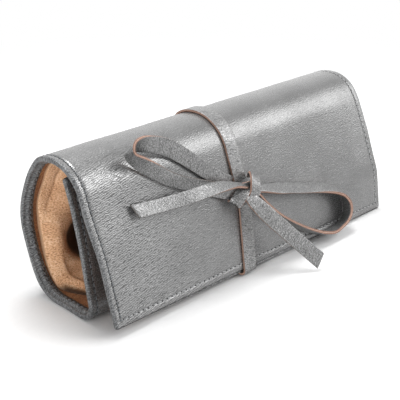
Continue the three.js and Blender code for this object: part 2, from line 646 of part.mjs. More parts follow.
function snapStud() {
  const stud = turned([
    [0, 0], [SNAP_BASE_RADIUS, 0], [SNAP_BASE_RADIUS, SNAP_BASE_HEIGHT], [SNAP_POST_RADIUS, SNAP_BASE_HEIGHT],
    [SNAP_POST_RADIUS, SNAP_BASE_HEIGHT + SNAP_POST_HEIGHT], [0, SNAP_BASE_HEIGHT + SNAP_POST_HEIGHT],
  ], SNAP_SEGMENTS);
  return stud.translate(snapX, 0, SHELL + SNAP_GAP);
}

function snapSocket() {
  const bore = SNAP_POST_RADIUS + SNAP_GAP;
  const ring = turned([
    [bore, 0], [SOCKET_RADIUS, 0], [SOCKET_RADIUS, SOCKET_HEIGHT], [bore, SOCKET_HEIGHT], [bore, 0],
  ], SNAP_SEGMENTS);
  return ring.translate(snapX, 0, socketFloor);
}

function snapCap() {
  const rim = CAP_HEIGHT / 2;
  const crown = CAP_RADIUS * Math.SQRT1_2;
  const cap = turned([
    [0, 0], [CAP_RADIUS, 0], [CAP_RADIUS, rim], [crown, CAP_HEIGHT], [0, CAP_HEIGHT],
  ], SNAP_SEGMENTS);
  return cap.translate(snapX, 0, capFloor);
}

// Assembly

const jewelryRoll = new THREE.Group();

function addPart(parent, name, geometry, material) {
  const mesh = new THREE.Mesh(geometry, material);
  mesh.name = name;
  parent.add(mesh);
  return mesh;
}

function addPanels(parent) {
  addPart(parent, 'flap_leather', turnedLeather(FLAP), PEWTER_LEATHER);
  addPart(parent, 'flap_board', board(FLAP), STIFFENER);
  addPart(parent, 'flap_lining', lining(FLAP), TAN_SUEDE);
  addPart(parent, 'back_leather', channelledLeather(BACK), PEWTER_LEATHER);
  addPart(parent, 'back_board', channelledBoard(BACK), STIFFENER);
  addPart(parent, 'back_lining', lining(BACK), TAN_SUEDE);
  addPart(parent, 'inner_leather', turnedLeather(INNER), PEWTER_LEATHER);
  addPart(parent, 'inner_board', board(INNER), STIFFENER);
  addPart(parent, 'inner_lining', lining(INNER), TAN_SUEDE);
}

function addLace(parent) {
  addPart(parent, 'lace_front_upper', laceStrand(0, laceFold - half), LACE_LEATHER);
  addPart(parent, 'lace_over_back', laceStrand(laceFold + half, laceHeel - half), LACE_LEATHER);
  addPart(parent, 'lace_under', laceStrand(laceHeel + half, laceJoint - half), LACE_LEATHER);
  addPart(parent, 'lace_front_lower', laceStrand(laceJoint + half, laceEnd), LACE_LEATHER);
}

function addBow(parent) {
  const frame = flapFrame();
  parent.add(frame);
  return [
    addPart(frame, 'knot_core', knotCore(), LACE_LEATHER),
    addPart(frame, 'knot_wrap', knotWrap(), LACE_LEATHER),
    addPart(frame, 'bow_loop_left', ribbon(LEFT_LOOP), LACE_LEATHER),
    addPart(frame, 'bow_loop_right', ribbon(RIGHT_LOOP), LACE_LEATHER),
    addPart(frame, 'bow_tail_left', ribbon(LEFT_TAIL), LACE_LEATHER),
    addPart(frame, 'bow_tail_right', ribbon(RIGHT_TAIL), LACE_LEATHER),
  ];
}

function addPocket(parent, name, startStation, endStation, zip) {
  addPart(parent, `${name}_pocket`, pocket(startStation, endStation, zip), TAN_SUEDE);
  const frame = insideFrame(zip);
  parent.add(frame);
  addPart(frame, `${name}_zip_tape_top`, zipTape(1), ZIP_TAPE);
  addPart(frame, `${name}_zip_tape_bottom`, zipTape(-1), ZIP_TAPE);
  addPart(frame, `${name}_zip_teeth`, zipChain(), NICKEL);
  addPart(frame, `${name}_zip_stop_left`, zipStop(-1), NICKEL);
  addPart(frame, `${name}_zip_stop_right`, zipStop(1), NICKEL);
  addPart(frame, `${name}_zip_slider`, zipSlider(), NICKEL);
  addPart(frame, `${name}_zip_pull`, zipPull(), NICKEL);
}

function addPockets(parent) {
  const turnStation = (turn) => stationAt(PANEL, 'turn', turn);
  const baseStart = turnStation(BASE_TURN).s;
  const lowerEnd = stationAt(PANEL, 's', baseStart + LOWER_POCKET_REACH);
  const upperEnd = turnStation(UPPER_POCKET_END_TURN);
  addPocket(parent, 'upper', turnStation(UPPER_POCKET_TURN), upperEnd, turnStation(UPPER_ZIP_TURN));
  addPocket(parent, 'lower', turnStation(LOWER_POCKET_TURN), lowerEnd, turnStation(LOWER_ZIP_TURN));
}

function addRingBar(parent) {
  const frame = insideFrame(stationAt(PANEL, 's', panelEnd - innerRise + BAR_RISE));
  parent.add(frame);
  addPart(frame, 'ring_bar', ringBar(), TAN_SUEDE);
  addPart(frame, 'ring_bar_anchor', barAnchor(), TAN_SUEDE);
  addPart(frame, 'ring_bar_tab', barTab(), TAN_SUEDE);
  addPart(frame, 'snap_stud', snapStud(), NICKEL);
  addPart(frame, 'snap_socket', snapSocket(), NICKEL);
  addPart(frame, 'snap_cap', snapCap(), NICKEL);
}

const roll = new THREE.Group();
addPanels(roll);
addLace(roll);
addPockets(roll);
addRingBar(roll);

// The origin is on the ground under the middle of the roll, bow left out.
const reach = new THREE.Box3().setFromObject(roll);
const middle = reach.getCenter(new THREE.Vector3());
addBow(roll);
roll.position.set(-middle.x, -middle.y, 0);
jewelryRoll.add(roll);

export default jewelryRoll;
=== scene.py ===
"""Looks for the jewelry roll: pewter leather, tan suede, a flat lace tied in a bow, zips and a ring bar."""
import math

import bpy
import numpy as np
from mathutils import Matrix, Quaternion, Vector


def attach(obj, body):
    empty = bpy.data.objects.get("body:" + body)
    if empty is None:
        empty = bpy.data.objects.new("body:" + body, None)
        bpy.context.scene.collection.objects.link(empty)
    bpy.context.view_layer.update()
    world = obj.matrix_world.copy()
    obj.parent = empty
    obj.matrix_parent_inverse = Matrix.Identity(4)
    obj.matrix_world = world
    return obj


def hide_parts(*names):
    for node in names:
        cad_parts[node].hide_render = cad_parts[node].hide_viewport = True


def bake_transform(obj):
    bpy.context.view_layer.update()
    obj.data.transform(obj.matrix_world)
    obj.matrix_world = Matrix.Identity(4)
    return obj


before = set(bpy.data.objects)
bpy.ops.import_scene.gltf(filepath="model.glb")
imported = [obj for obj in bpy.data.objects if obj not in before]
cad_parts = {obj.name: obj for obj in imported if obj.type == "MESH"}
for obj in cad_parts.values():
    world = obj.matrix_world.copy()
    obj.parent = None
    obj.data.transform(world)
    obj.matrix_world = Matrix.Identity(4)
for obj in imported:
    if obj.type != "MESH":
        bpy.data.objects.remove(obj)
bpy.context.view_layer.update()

MM = 0.001

# Sizes of the rolled panel in millimetres, as the solids have them
ROLL_LENGTH = 230.0
ROLL_HALF = ROLL_LENGTH / 2
ROLL_HEIGHT = 85.6
TOP_RADIUS = 22.8
BACK_RADIUS = 55.0
HEEL_RADIUS = 22.0
FOLD_RADIUS = 10.0
BASE_WIDTH = 21.0
TOP_SETBACK = 4.9
FLAP_LEAN = math.radians(18.9)
HEM_LIFT = 2.6
INNER_DROP = 10.6
INNER_GAP = 1.2
SHELL = 4.2
LINING = 0.9
BORDER = 3.8
SHIFT_Y = 11.0657  # from the heel's centre to the middle of the roll

# Flat lace
LACE_WIDTH = 9.5
LACE_THICKNESS = 2.0  # room that the lace takes up
LACE_BODY = 1.4  # the two pressed plies themselves
LACE_GAP = 0.3
LACE_PRESS = 0.4  # how far the tied lace is pulled in towards the leather
LACE_LIFT = 0.2
LACE_BACK_X = -8.6
LACE_HEM_X = -16.4
LACE_FOLD_TURN = math.radians(-35)  # on the top, where the lace turns from its slant to straight
HEM_TURN = 3.0
UNDER_START = 6.0
KNOT_X = -7.5
KNOT_RISE = 43.5
KNOT_HEIGHT = 12.0

# Bow routes on the flap: along the roll, up the flap from its hem, out from the leather, and the lean
# of the lace's width from the flap's face outwards, in degrees
LEFT_LOOP = [
    (-14, 43.6, 3.4, 10), (-19.4, 45.6, 3.2, 12), (-24.5, 48, 3.2, 16), (-30, 50.6, 3.5, 22),
    (-36, 53.4, 4.2, 32), (-45.7, 57.9, 4.5, 42), (-55, 62, 4.6, 45), (-62.8, 66.8, 4.6, 46),
    (-70.6, 72.9, 4.6, 50), (-76.8, 78, 4.7, 62), (-80.8, 82, 4.8, 80), (-81.9, 85, 5, 100),
    (-79.5, 87.4, 4.8, 118), (-74, 87.4, 4, 138), (-66, 85.4, 3, 154), (-59.1, 83, 2.5, 160),
    (-53.2, 79.8, 2.5, 162), (-46.8, 74.6, 2.6, 164), (-38.9, 67.8, 2.5, 166), (-30.8, 60.6, 2.4, 168),
    (-22, 54, 2.2, 170), (-15.8, 50.5, 2.1, 172),
]
LEFT_TAIL = [
    (-8.5, 46.6, 6, -58), (-12.5, 47.9, 7, -61), (-17, 49.4, 8, -63), (-22, 50.8, 8.8, -58),
    (-28, 51.9, 9.4, -48), (-35, 52.6, 9.5, -36), (-41, 52.8, 9.1, -27), (-47, 52.8, 8.3, -21),
    (-53, 52.9, 7.1, -17), (-60, 53, 5.4, -15), (-68, 53.4, 4.1, -14), (-77, 54.1, 3.3, -14),
    (-86.7, 55.2, 3, -14),
]
RIGHT_LOOP = [
    (-0.4, 43, 6.2, 32), (6, 41, 5.4, 40), (14, 38.6, 4.8, 44), (26, 35.6, 4.5, 45),
    (38, 32.2, 4.5, 45), (48, 29.6, 4.5, 46), (57, 27, 4.7, 48), (66.4, 23, 5, 56),
    (72.8, 18.4, 5.1, 62), (76, 12.2, 5.1, 67), (74.6, 6, 5.1, 72), (69.8, 1.8, 5.1, 78),
    (62.4, -0.2, 5.2, 84), (55, -1, 5.2, 90), (47, 0.8, 5.2, 90), (35.3, 6.3, 5.2, 90),
    (22.6, 14.4, 5.2, 90), (11.6, 23, 5.3, 90), (5.6, 29.2, 5.5, 90), (1.8, 33.8, 5.7, 90),
    (-0.8, 37.2, 6, 90), (-3, 40.4, 6.2, 90),
]
RIGHT_TAIL = [
    (-10.4, 42, 8.3, 175), (-9, 38, 9.3, 174), (-7.2, 34.4, 10.6, 172), (-5, 30.7, 11.7, 170),
    (-1.2, 24.2, 13.8, 168), (3.4, 16.6, 16.6, 168), (8.2, 8.8, 19.4, 168), (13, 1, 22.2, 168),
    (18.1, -7, 25, 168),
]
# How the lace is gathered and pressed, and where its raw edge is greyed: distance from its start, share of
# its width, share of its thickness, and how grey its raw edge is made
LEFT_LOOP_BUILD = [
    (0, 0.75, 0.8, 0.3), (16, 0.9, 0.5, 0.9), (40, 0.88, 0.45, 1), (58, 0.94, 0.6, 0.9), (68, 1, 1.1, 0.1),
    (74, 1, 1.2, 0), (92, 1, 1.1, 0), (102, 1, 0.8, 0.5), (112, 1, 0.6, 1), (159, 0.85, 0.6, 1),
]
LEFT_TAIL_BUILD = [
    (0, 0.5, 1, 0), (10, 0.62, 1, 0), (18, 0.76, 0.9, 0.2), (28, 0.8, 0.6, 0.7), (36, 0.8, 0.5, 1),
    (90, 0.79, 0.5, 1),
]
RIGHT_LOOP_BUILD = [
    (0, 0.58, 1, 0), (8, 0.68, 1, 0), (20, 1, 0.6, 0.5), (32, 1, 0.5, 0.8), (48, 1, 0.6, 0.6),
    (62, 1, 1.2, 0), (72, 1, 1.4, 0), (120, 1, 1.4, 0), (140, 1, 1.1, 0), (185, 0.7, 1, 0),
]
RIGHT_TAIL_BUILD = [(0, 0.75, 0.9, 0), (14, 1, 0.8, 0.2), (30, 1, 0.6, 0.6), (45, 1, 0.5, 1), (60, 1, 0.5, 1)]

# Camera, fitted to the flap's corners and the left end's outline
CAMERA_AZIMUTH = math.radians(-45)
CAMERA_ELEVATION = math.radians(23.634)
CAMERA_DISTANCE = 550.208
CAMERA_TARGET = (-5.991, 10.666, 28.231)
CAMERA_FOCAL = 909.93 / 400  # focal length as a share of the frame's width
SENSOR = 36.0


# Lines and waves

def walked(points):
    """Distance walked along a line of points, from 0 at the first."""
    return np.concatenate([[0], np.cumsum(np.linalg.norm(np.diff(points, axis=0), axis=1))])


def walked_round(points):
    """Distance walked along a closed line of points, back to the first."""
    return walked(np.concatenate([points, points[:1]]))


def unit(vectors):
    """Vectors of length 1 in the same directions."""
    return vectors / np.linalg.norm(vectors, axis=-1, keepdims=True)


def squared(vectors, run):
    """Unit vectors square to the run: what lies along it is taken away."""
    return unit(vectors - run * np.sum(vectors * run, axis=1, keepdims=True))


def smooth_step(value, low, high):
    """Share from 0 at low to 1 at high that starts and ends level: three squares less two cubes."""
    share = np.clip((value - low) / (high - low), 0, 1)
    return share * share * (3 - 2 * share)


def within(value, rise, fall):
    """Share that steps smoothly up over the rise span and down again over the fall span."""
    return smooth_step(value, *rise) * (1 - smooth_step(value, *fall))


def bell(value, middle, width):
    """Bell curve of height 1: e to the power of minus the squared distance from its middle, in widths."""
    return np.exp(-((value - middle) / width) ** 2)


def arch(distance, reach):
    """Quarter of a sine wave: steeply up from 0, and level at 1 from the reach on."""
    return np.sin(math.pi / 2 * np.clip(distance / reach, 0, 1))


def read(rows, value):
    """Amount at a value, on straight lines between rows of (value, amount)."""
    return np.interp(value, *np.transpose(rows))


SINES = 9
SHORTEST, SPREAD = 0.7, 0.8  # shortest wave, and how much longer the others may be, as shares of the wave
PHASES = 7.0  # a little over one full turn
CREST = 1.4  # highest point of a sine over its mean size


def ripple(u, v, seed, wave):
    """Smooth unevenness between about -1 and 1: sines in seeded directions, near one wavelength."""
    total = np.zeros(np.broadcast(u, v).shape)
    for turn, phase, stretch in np.random.default_rng(seed).random((SINES, 3)):
        pitch = 2 * math.pi / (wave * (SHORTEST + SPREAD * stretch))
        way = u * math.cos(math.pi * turn) + v * math.sin(math.pi * turn)
        total = total + np.sin(pitch * way + PHASES * phase)
    return total / SINES ** 0.5 / CREST


def between(t, a, b, p, q):
    """Value at t on the straight line that passes p at a and q at b."""
    return (b - t) / (b - a) * p + (t - a) / (b - a) * q


def spline(route, steps):
    """Centripetal curve through the route's points, with all columns carried along, steps per span."""
    route = np.asarray(route, float)
    padded = np.concatenate([[2 * route[0] - route[1]], route, [2 * route[-1] - route[-2]]])
    knots = np.concatenate([[0], np.cumsum(np.linalg.norm(np.diff(padded[:, :3], axis=0), axis=1) ** 0.5)])
    pieces = []
    for k in range(1, len(padded) - 2):
        t0, t1, t2, t3 = knots[k - 1:k + 3]
        p0, p1, p2, p3 = padded[k - 1:k + 3]
        last = k == len(padded) - 3
        t = np.linspace(t1, t2, steps + 1)[: steps + 1 if last else steps, None]
        a1, a2, a3 = between(t, t0, t1, p0, p1), between(t, t1, t2, p1, p2), between(t, t2, t3, p2, p3)
        pieces.append(between(t, t1, t2, between(t, t0, t2, a1, a2), between(t, t1, t3, a2, a3)))
    return np.concatenate(pieces)


def edge_spaced(length, margin, fine, coarse):
    """Places from 0 to length: closely spaced near both ends, wider between."""
    near = np.arange(0, margin, fine)
    middle = np.linspace(margin, length - margin, max(2, int((length - 2 * margin) / coarse)))
    return np.concatenate([near, middle, length - near[::-1]])


# Meshes

def link(name, data):
    """New object with that data, put into the scene."""
    made = bpy.data.objects.new(name, data)
    bpy.context.scene.collection.objects.link(made)
    return made


def mesh_piece(name, points, faces, uv, materials, face_material=0, smooth=True):
    """Mesh object from points in millimetres and its faces, with one UV pair per face corner.

    face_material and smooth are one value for all faces, or one for each."""
    mesh = bpy.data.meshes.new(name)
    sizes = np.array([len(face) for face in faces], np.int32)
    corners = np.concatenate([np.asarray(face, np.int32) for face in faces])
    starts = np.concatenate([[0], np.cumsum(sizes)[:-1]]).astype(np.int32)
    mesh.vertices.add(len(points))
    mesh.vertices.foreach_set("co", (points * MM).astype(np.float32).ravel())
    mesh.loops.add(len(corners))
    mesh.loops.foreach_set("vertex_index", corners)
    mesh.polygons.add(len(sizes))
    mesh.polygons.foreach_set("loop_start", starts)
    mesh.polygons.foreach_set("use_smooth", np.broadcast_to(smooth, len(sizes)))
    mesh.polygons.foreach_set("material_index", np.broadcast_to(face_material, len(sizes)).astype(np.int32))
    layer = mesh.uv_layers.new(name="UVMap")
    layer.data.foreach_set("uv", (uv * MM).astype(np.float32).ravel())
    for finish in materials:
        mesh.materials.append(finish)
    mesh.update(calc_edges=True)
    mesh.validate()
    return link(name, mesh)


def ring_quads(stations, corners):
    """Quads between neighbouring rings of a tube, as numbers of its points counted ring after ring."""
    i, j = np.meshgrid(np.arange(stations - 1), np.arange(corners), indexing="ij")
    here, after = i * corners + j, i * corners + (j + 1) % corners
    return np.stack([here, after, after + corners, here + corners], -1).reshape(-1, 4)


def signed_volume(rings):
    """Volume towards the first point, summed over quads and caps: positive when faces point out."""
    base = rings[0, 0]
    a = rings[:-1] - base
    b = np.roll(rings, -1, axis=1)[:-1] - base
    c = np.roll(rings, -1, axis=1)[1:] - base
    d = rings[1:] - base
    side = np.einsum("ijk,ijk->", a, np.cross(b, c)) + np.einsum("ijk,ijk->", a, np.cross(c, d))
    last = rings[-1] - base
    fan = np.einsum("jk,jk->", np.broadcast_to(last[0], last[1:-1].shape), np.cross(last[1:-1], last[2:]))
    return side + fan


def swept(name, rings, across, down, materials, ring_material=None):
    """Closed tube of rings (stations, corners, 3): quads between neighbours, and a flat cap at each end.

    across gives the UV along a ring, with one value more than corners, and down the UV along the stations.
    ring_material gives the material of the quads after each corner. The caps take the last of them."""
    stations, corners, _ = rings.shape
    quads = ring_quads(stations, corners)
    u = np.stack([across[:-1], across[1:], across[1:], across[:-1]], -1)
    v = np.stack([down[:-1], down[:-1], down[1:], down[1:]], -1)
    quad_uv = np.stack(np.broadcast_arrays(u[None], v[:, None]), -1).reshape(-1, 4, 2)
    ring = np.arange(corners)
    caps = np.stack([ring[::-1], (stations - 1) * corners + ring])
    cap_uv = np.stack([across[caps % corners], np.broadcast_to(down[[0, -1], None], caps.shape)], -1)
    if signed_volume(rings) < 0:
        quads, quad_uv, caps, cap_uv = (part[:, ::-1] for part in (quads, quad_uv, caps, cap_uv))
    uv = np.concatenate([quad_uv.reshape(-1, 2), cap_uv.reshape(-1, 2)])
    marks = np.zeros(corners, int) if ring_material is None else ring_material
    face_material = np.append(np.tile(marks, stations - 1), [marks.max()] * len(caps))
    smooth = np.arange(len(face_material)) < len(quads)
    return mesh_piece(name, rings.reshape(-1, 3), [*quads, *caps], uv, materials, face_material, smooth)


def store(piece, name, values):
    """Stores a value for each point of a piece, for its material to read."""
    stored = piece.data.attributes.new(name, "FLOAT", "POINT")
    stored.data.foreach_set("value", values.ravel().astype(np.float32))


def settle(piece, nodes=(), body=None):
    """Says which solids a piece stands for, by hiding them, and which body it rides on."""
    if nodes:
        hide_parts(*nodes)
    if body:
        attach(piece, body)
    return piece


# Outlines in the section, in millimetres

BACK_SWELLS = [(1.2, 36, 20), (0.4, 62, 22), (0.9, 86, 15)]  # height, and turn and width in degrees


def back_swell(turn):
    """Extra fullness of the soft back: bell curves over the turn, from past the top down to the heel."""
    degrees = np.degrees(turn)
    return sum(height * bell(degrees, middle, width) for height, middle, width in BACK_SWELLS)


def outward(turn):
    """Direction (y, z) that points out of the outline at a turn from straight up."""
    return np.stack([np.sin(turn), np.cos(turn)], -1)


def along(turn):
    """Direction (y, z) in which the outline is walked at that turn."""
    return np.stack([np.cos(turn), -np.sin(turn)], -1)


def turn_of(start, end):
    """Turn of the line from one place to another."""
    return math.atan2(end[0] - start[0], end[1] - start[1])


class Outline:
    """Chain of tangent arcs and straight runs: place (y, z) and turn at any distance walked along it."""

    def __init__(self, start, turn, runs):
        """runs: (length, radius) pairs, with radius 0 for a straight run."""
        self.places, self.turns, self.bends, lengths = [], [], [], []
        place = np.asarray(start, float)
        for length, radius in runs:
            bend = 1 / radius if radius else 0.0
            self.places.append(place)
            self.turns.append(turn)
            self.bends.append(bend)
            lengths.append(length)
            place = self.step(place, turn, bend, np.asarray(length, float))
            turn += length * bend
        self.starts = np.concatenate([[0], np.cumsum(lengths)])
        self.length = self.starts[-1]
        self.places, self.turns, self.bends = map(np.array, (self.places, self.turns, self.bends))

    @staticmethod
    def step(place, turn, bend, distance):
        """Place after a distance on one run: along its circle, or straight on where it has no bend."""
        bend, distance = np.asarray(bend, float)[..., None], np.asarray(distance, float)[..., None]
        safe = np.where(bend == 0, 1, bend)
        swing = np.asarray(turn)[..., None] + bend * distance
        arc = (outward(swing[..., 0]) - outward(np.asarray(turn))) / safe
        return place + np.where(bend == 0, along(np.asarray(turn)) * distance, arc)

    def at(self, s):
        """Places and turns at distances from the start."""
        s = np.asarray(s, float)
        run = np.clip(np.searchsorted(self.starts, s, side="right") - 1, 0, len(self.turns) - 1)
        distance = s - self.starts[run]
        place = self.step(self.places[run], self.turns[run], self.bends[run], distance)
        return place, self.turns[run] + self.bends[run] * distance

    def solid(self, s, x, depth):
        """Points (x, y, z) at a distance along the outline, a place along the roll and a depth into it."""
        s, x, depth = np.broadcast_arrays(s, x, depth)
        place, turn = self.at(s)
        y_z = place - outward(turn) * (depth - back_swell(turn))[..., None]
        return np.concatenate([x[..., None], y_z], -1)


top_centre = np.array([SHIFT_Y - TOP_SETBACK, ROLL_HEIGHT - TOP_RADIUS])
heel_centre = np.array([SHIFT_Y, HEEL_RADIUS])
fold_centre = np.array([SHIFT_Y - BASE_WIDTH, FOLD_RADIUS])
top_reach, heel_reach = BACK_RADIUS - TOP_RADIUS, BACK_RADIUS - HEEL_RADIUS
down = heel_centre - top_centre
apart = np.linalg.norm(down)
down = down / apart
foot = (top_reach ** 2 - heel_reach ** 2 + apart ** 2) / (2 * apart)
sideways = math.sqrt(top_reach ** 2 - foot ** 2)
back_centre = top_centre + down * foot + np.array([down[1], -down[0]]) * sideways

FLAP_TURN = FLAP_LEAN - math.pi / 2
back_start = turn_of(back_centre, top_centre)
back_end = turn_of(back_centre, heel_centre)
lining_radius = TOP_RADIUS - SHELL
inner_z = ROLL_HEIGHT - INNER_DROP
inner_top = np.array([
    top_centre[0] - math.sqrt(lining_radius ** 2 - (inner_z - top_centre[1]) ** 2) + INNER_GAP, inner_z])
inner_reach = np.linalg.norm(inner_top - fold_centre)
inner_turn = 1.5 * math.pi + turn_of(fold_centre, inner_top) + math.asin(FOLD_RADIUS / inner_reach)
inner_rise = math.sqrt(inner_reach ** 2 - FOLD_RADIUS ** 2)
flap_top = top_centre + outward(FLAP_TURN) * TOP_RADIUS
hem_z = HEM_LIFT + SHELL * math.sin(FLAP_LEAN)
flap_fall = (flap_top[1] - hem_z) / math.cos(FLAP_LEAN)
hem = flap_top - along(FLAP_TURN) * flap_fall

PANEL = Outline(hem, FLAP_TURN, [
    (flap_fall, 0),
    (TOP_RADIUS * (back_start - FLAP_TURN), TOP_RADIUS),
    (BACK_RADIUS * (back_end - back_start), BACK_RADIUS),
    (HEEL_RADIUS * (math.pi - back_end), HEEL_RADIUS),
    (BASE_WIDTH, 0),
    (FOLD_RADIUS * (inner_turn - math.pi), FOLD_RADIUS),
    (inner_rise, 0),
])
BASE_START, FOLD_START = PANEL.starts[4:6]
PANEL_SPLIT = BASE_START + 5.0  # where the rear and front stretches of the panel meet, under the base
REAR, FRONT = (0.0, PANEL_SPLIT), (PANEL_SPLIT, PANEL.length)

stack = LACE_GAP + LACE_THICKNESS
lace_base = LACE_LIFT + HEEL_RADIUS + stack
lace_heel_centre = np.array([
    back_centre[0] + math.sqrt(heel_reach ** 2 - (lace_base - back_centre[1]) ** 2), lace_base])
lace_heel_turn = turn_of(back_centre, lace_heel_centre)
flap_out, flap_up = outward(FLAP_TURN), along(FLAP_TURN)
hem_turn_z = LACE_LIFT + HEM_TURN
hem_turn_y = hem[0] + (stack - HEM_TURN - (hem_turn_z - hem[1]) * flap_out[1]) / flap_out[0]
hem_turn_rise = (hem_turn_y - hem[0]) * flap_up[0] + (hem_turn_z - hem[1]) * flap_up[1]
knot_top = KNOT_RISE + KNOT_HEIGHT / 2 + LACE_GAP
knot_bottom = KNOT_RISE - KNOT_HEIGHT / 2 - LACE_GAP
LACE = Outline(hem + flap_up * knot_top + flap_out * stack, FLAP_TURN, [
    (flap_fall - knot_top, 0),
    ((TOP_RADIUS + stack) * (back_start - FLAP_TURN), TOP_RADIUS + stack),
    ((BACK_RADIUS + stack) * (lace_heel_turn - back_start), BACK_RADIUS + stack),
    ((HEEL_RADIUS + stack) * (math.pi - lace_heel_turn), HEEL_RADIUS + stack),
    (lace_heel_centre[0] - hem_turn_y, 0),
    (HEM_TURN * (FLAP_TURN + math.pi), HEM_TURN),
    (knot_bottom - hem_turn_rise, 0),
])
LACE_FOLD = LACE.starts[1] + (TOP_RADIUS + stack) * (LACE_FOLD_TURN - FLAP_TURN)
LACE_HEEL, LACE_BASE, LACE_HEM = LACE.starts[3:6]
LACE_JOINT = LACE_HEM - UNDER_START
LACE_MIDDLE = [(0, KNOT_X), (LACE_FOLD, LACE_BACK_X), (LACE_HEEL, LACE_BACK_X), (LACE_HEM, LACE_HEM_X),
               (LACE.length, KNOT_X)]  # distance along the lace, and its middle along the roll

# Frame on the flap's outer face, at its hem: X along the roll, up the flap, out of it
FLAP_UP = np.array([0, *flap_up])
FLAP_OUT = np.array([0, *flap_out])
HEM = np.array([0, *hem])


def on_flap(points):
    """Points of the flap's frame in the roll's frame."""
    x, up, out = points[..., :1], points[..., 1:2], points[..., 2:3]
    return HEM + np.array([1, 0, 0]) * x + FLAP_UP * up + FLAP_OUT * out


# Section of the lace

CORNER_ROUND = 0.3
CORNER_CUT = 0.07  # from the corner to the middle of its rounding, each way
GLUE_HALF, GLUE_DEPTH = 0.2, 0.12  # half height and depth of the groove between the plies
FACE_POINTS = 5


def lace_section():
    """Section of the two-ply lace: a flat bar with rounded corners and a groove in each edge.

    Returns its points, across and through the lace in millimetres, and 1 for each side that is a cut edge."""
    w, t = LACE_WIDTH / 2, LACE_BODY / 2
    edge = np.array([
        (w - CORNER_ROUND, -t), (w - CORNER_CUT, CORNER_CUT - t), (w, CORNER_ROUND - t), (w, -GLUE_HALF),
        (w - GLUE_DEPTH, 0), (w, GLUE_HALF), (w, t - CORNER_ROUND), (w - CORNER_CUT, t - CORNER_CUT),
        (w - CORNER_ROUND, t)])
    face = np.linspace(w - CORNER_ROUND, CORNER_ROUND - w, FACE_POINTS + 2)[1:-1]
    upper = np.stack([face, np.full(FACE_POINTS, t)], -1)
    cut = np.zeros(len(edge) + FACE_POINTS, int)
    cut[1:len(edge) - 2] = 1
    return np.concatenate([edge, upper, -edge, -upper]), np.tile(cut, 2)


LACE_RING, LACE_CUT = lace_section()
LACE_ACROSS = walked_round(LACE_RING)
GLUE_LINES = LACE_ACROSS[np.nonzero(LACE_RING[:, 1] == 0)[0]]  # middle of each cut edge, round the section


# Materials

TIMES = {"operation": "MULTIPLY"}
TIMES_PLUS = {"operation": "MULTIPLY_ADD"}
LESS = {"operation": "SUBTRACT"}
LARGER = {"operation": "MAXIMUM"}
SMOOTH = {"interpolation_type": "SMOOTHSTEP"}
COLOURS = {"data_type": "RGBA"}
BAND = math.pi / 10  # scale of a wave texture whose bands are 1 apart


def linear(code):
    """Linear RGBA of an sRGB hex value."""
    parts = [int(code[k:k + 2], 16) / 255 for k in (1, 3, 5)]
    return [p / 12.92 if p <= 0.04045 else ((p + 0.055) / 1.055) ** 2.4 for p in parts] + [1.0]


def per_mm(size):
    """Texture scale for a feature of that size in millimetres, on coordinates in metres."""
    return 1 / (size * MM)


def feed(node, **values):
    """Links or sets a node's inputs by name or number. A node as a value stands for its first output."""
    for key, value in values.items():
        socket = node.inputs[int(key[1:]) if key[1:].isdigit() else key.replace("_", " ")]
        if isinstance(value, bpy.types.Node):
            value = value.outputs[0]
        if isinstance(value, bpy.types.NodeSocket):
            node.id_data.links.new(value, socket)
        else:
            socket.default_value = value


def add(tree, kind, settings=None, **values):
    """Adds a shader node with its settings and inputs. Stops set a ramp's positions and colours."""
    node = tree.nodes.new("ShaderNode" + kind)
    for key, value in (settings or {}).items():
        if key == "stops":
            put_stops(node.color_ramp, value)
        else:
            setattr(node, key, value)
    feed(node, **values)
    return node


def put_stops(ramp, stops):
    """Puts (position, hex colour) stops on a new colour ramp, which has its two ends already."""
    for end in (0, -1):
        ramp.elements[end].position, ramp.elements[end].color = stops[end][0], linear(stops[end][1])
    for position, code in stops[1:-1]:
        ramp.elements.new(position).color = linear(code)


def material(name):
    """New material with its node tree and its principled shader."""
    made = bpy.data.materials.new(name)
    made.use_nodes = True
    return made, made.node_tree, made.node_tree.nodes["Principled BSDF"]


# Leather: sizes and places in millimetres, and shares
FOIL = 0.55  # share of the leather that reflects as a metal film
GRAIN_SLANT = math.radians(-15)  # turn of the fine folds from the roll's length
GRAIN_DETAIL = 1.9  # how finely the folds bend
DRIFT_FOLDS = 3.5  # size, counted in folds, of the patches in which they come and go
DRIFT_LOW, DRIFT_HIGH = 0.3, 0.65  # noise in the patches with the faintest and with full folds
FAINTEST = 0.55  # share of the folds that is left in the faintest patches
PEBBLE = 0.9  # coarser than real pebble, so that it shows in the picture
PULLED_LEFT = (-15, -95)  # along the roll: from here to there the flap is pulled more and more
FLAP_OVER = (76, 94)  # from the hem: here the flap passes into the top
TURNED_IN = (108, 118)  # from the roll's middle out and round the edge: here the leather is turned in
EVERYWHERE = 0.5  # share of the folds' relief that is the same everywhere
LOOSE_PEBBLE, PULL_ON_PEBBLE = 4.2, -3.5  # relief of the pebble in loose leather, and what a full pull adds
TONE_PATCH = 24.0
TONE_SHARE, TONE_LOW = 0.3, 0.35  # how much the patches of tone vary, and where that begins
PULL_PAINTED_LIGHT, FOLD_PAINTED_SHADE = 0.36, 0.75  # how much a full pull lightens the colour, evening out the painted fold shade and adding painted light at the pulled left end, and how much painted shade darkens the folds' valleys
GLOSS_SPREAD = 0.06  # how far the roughness goes up and down with the pebble


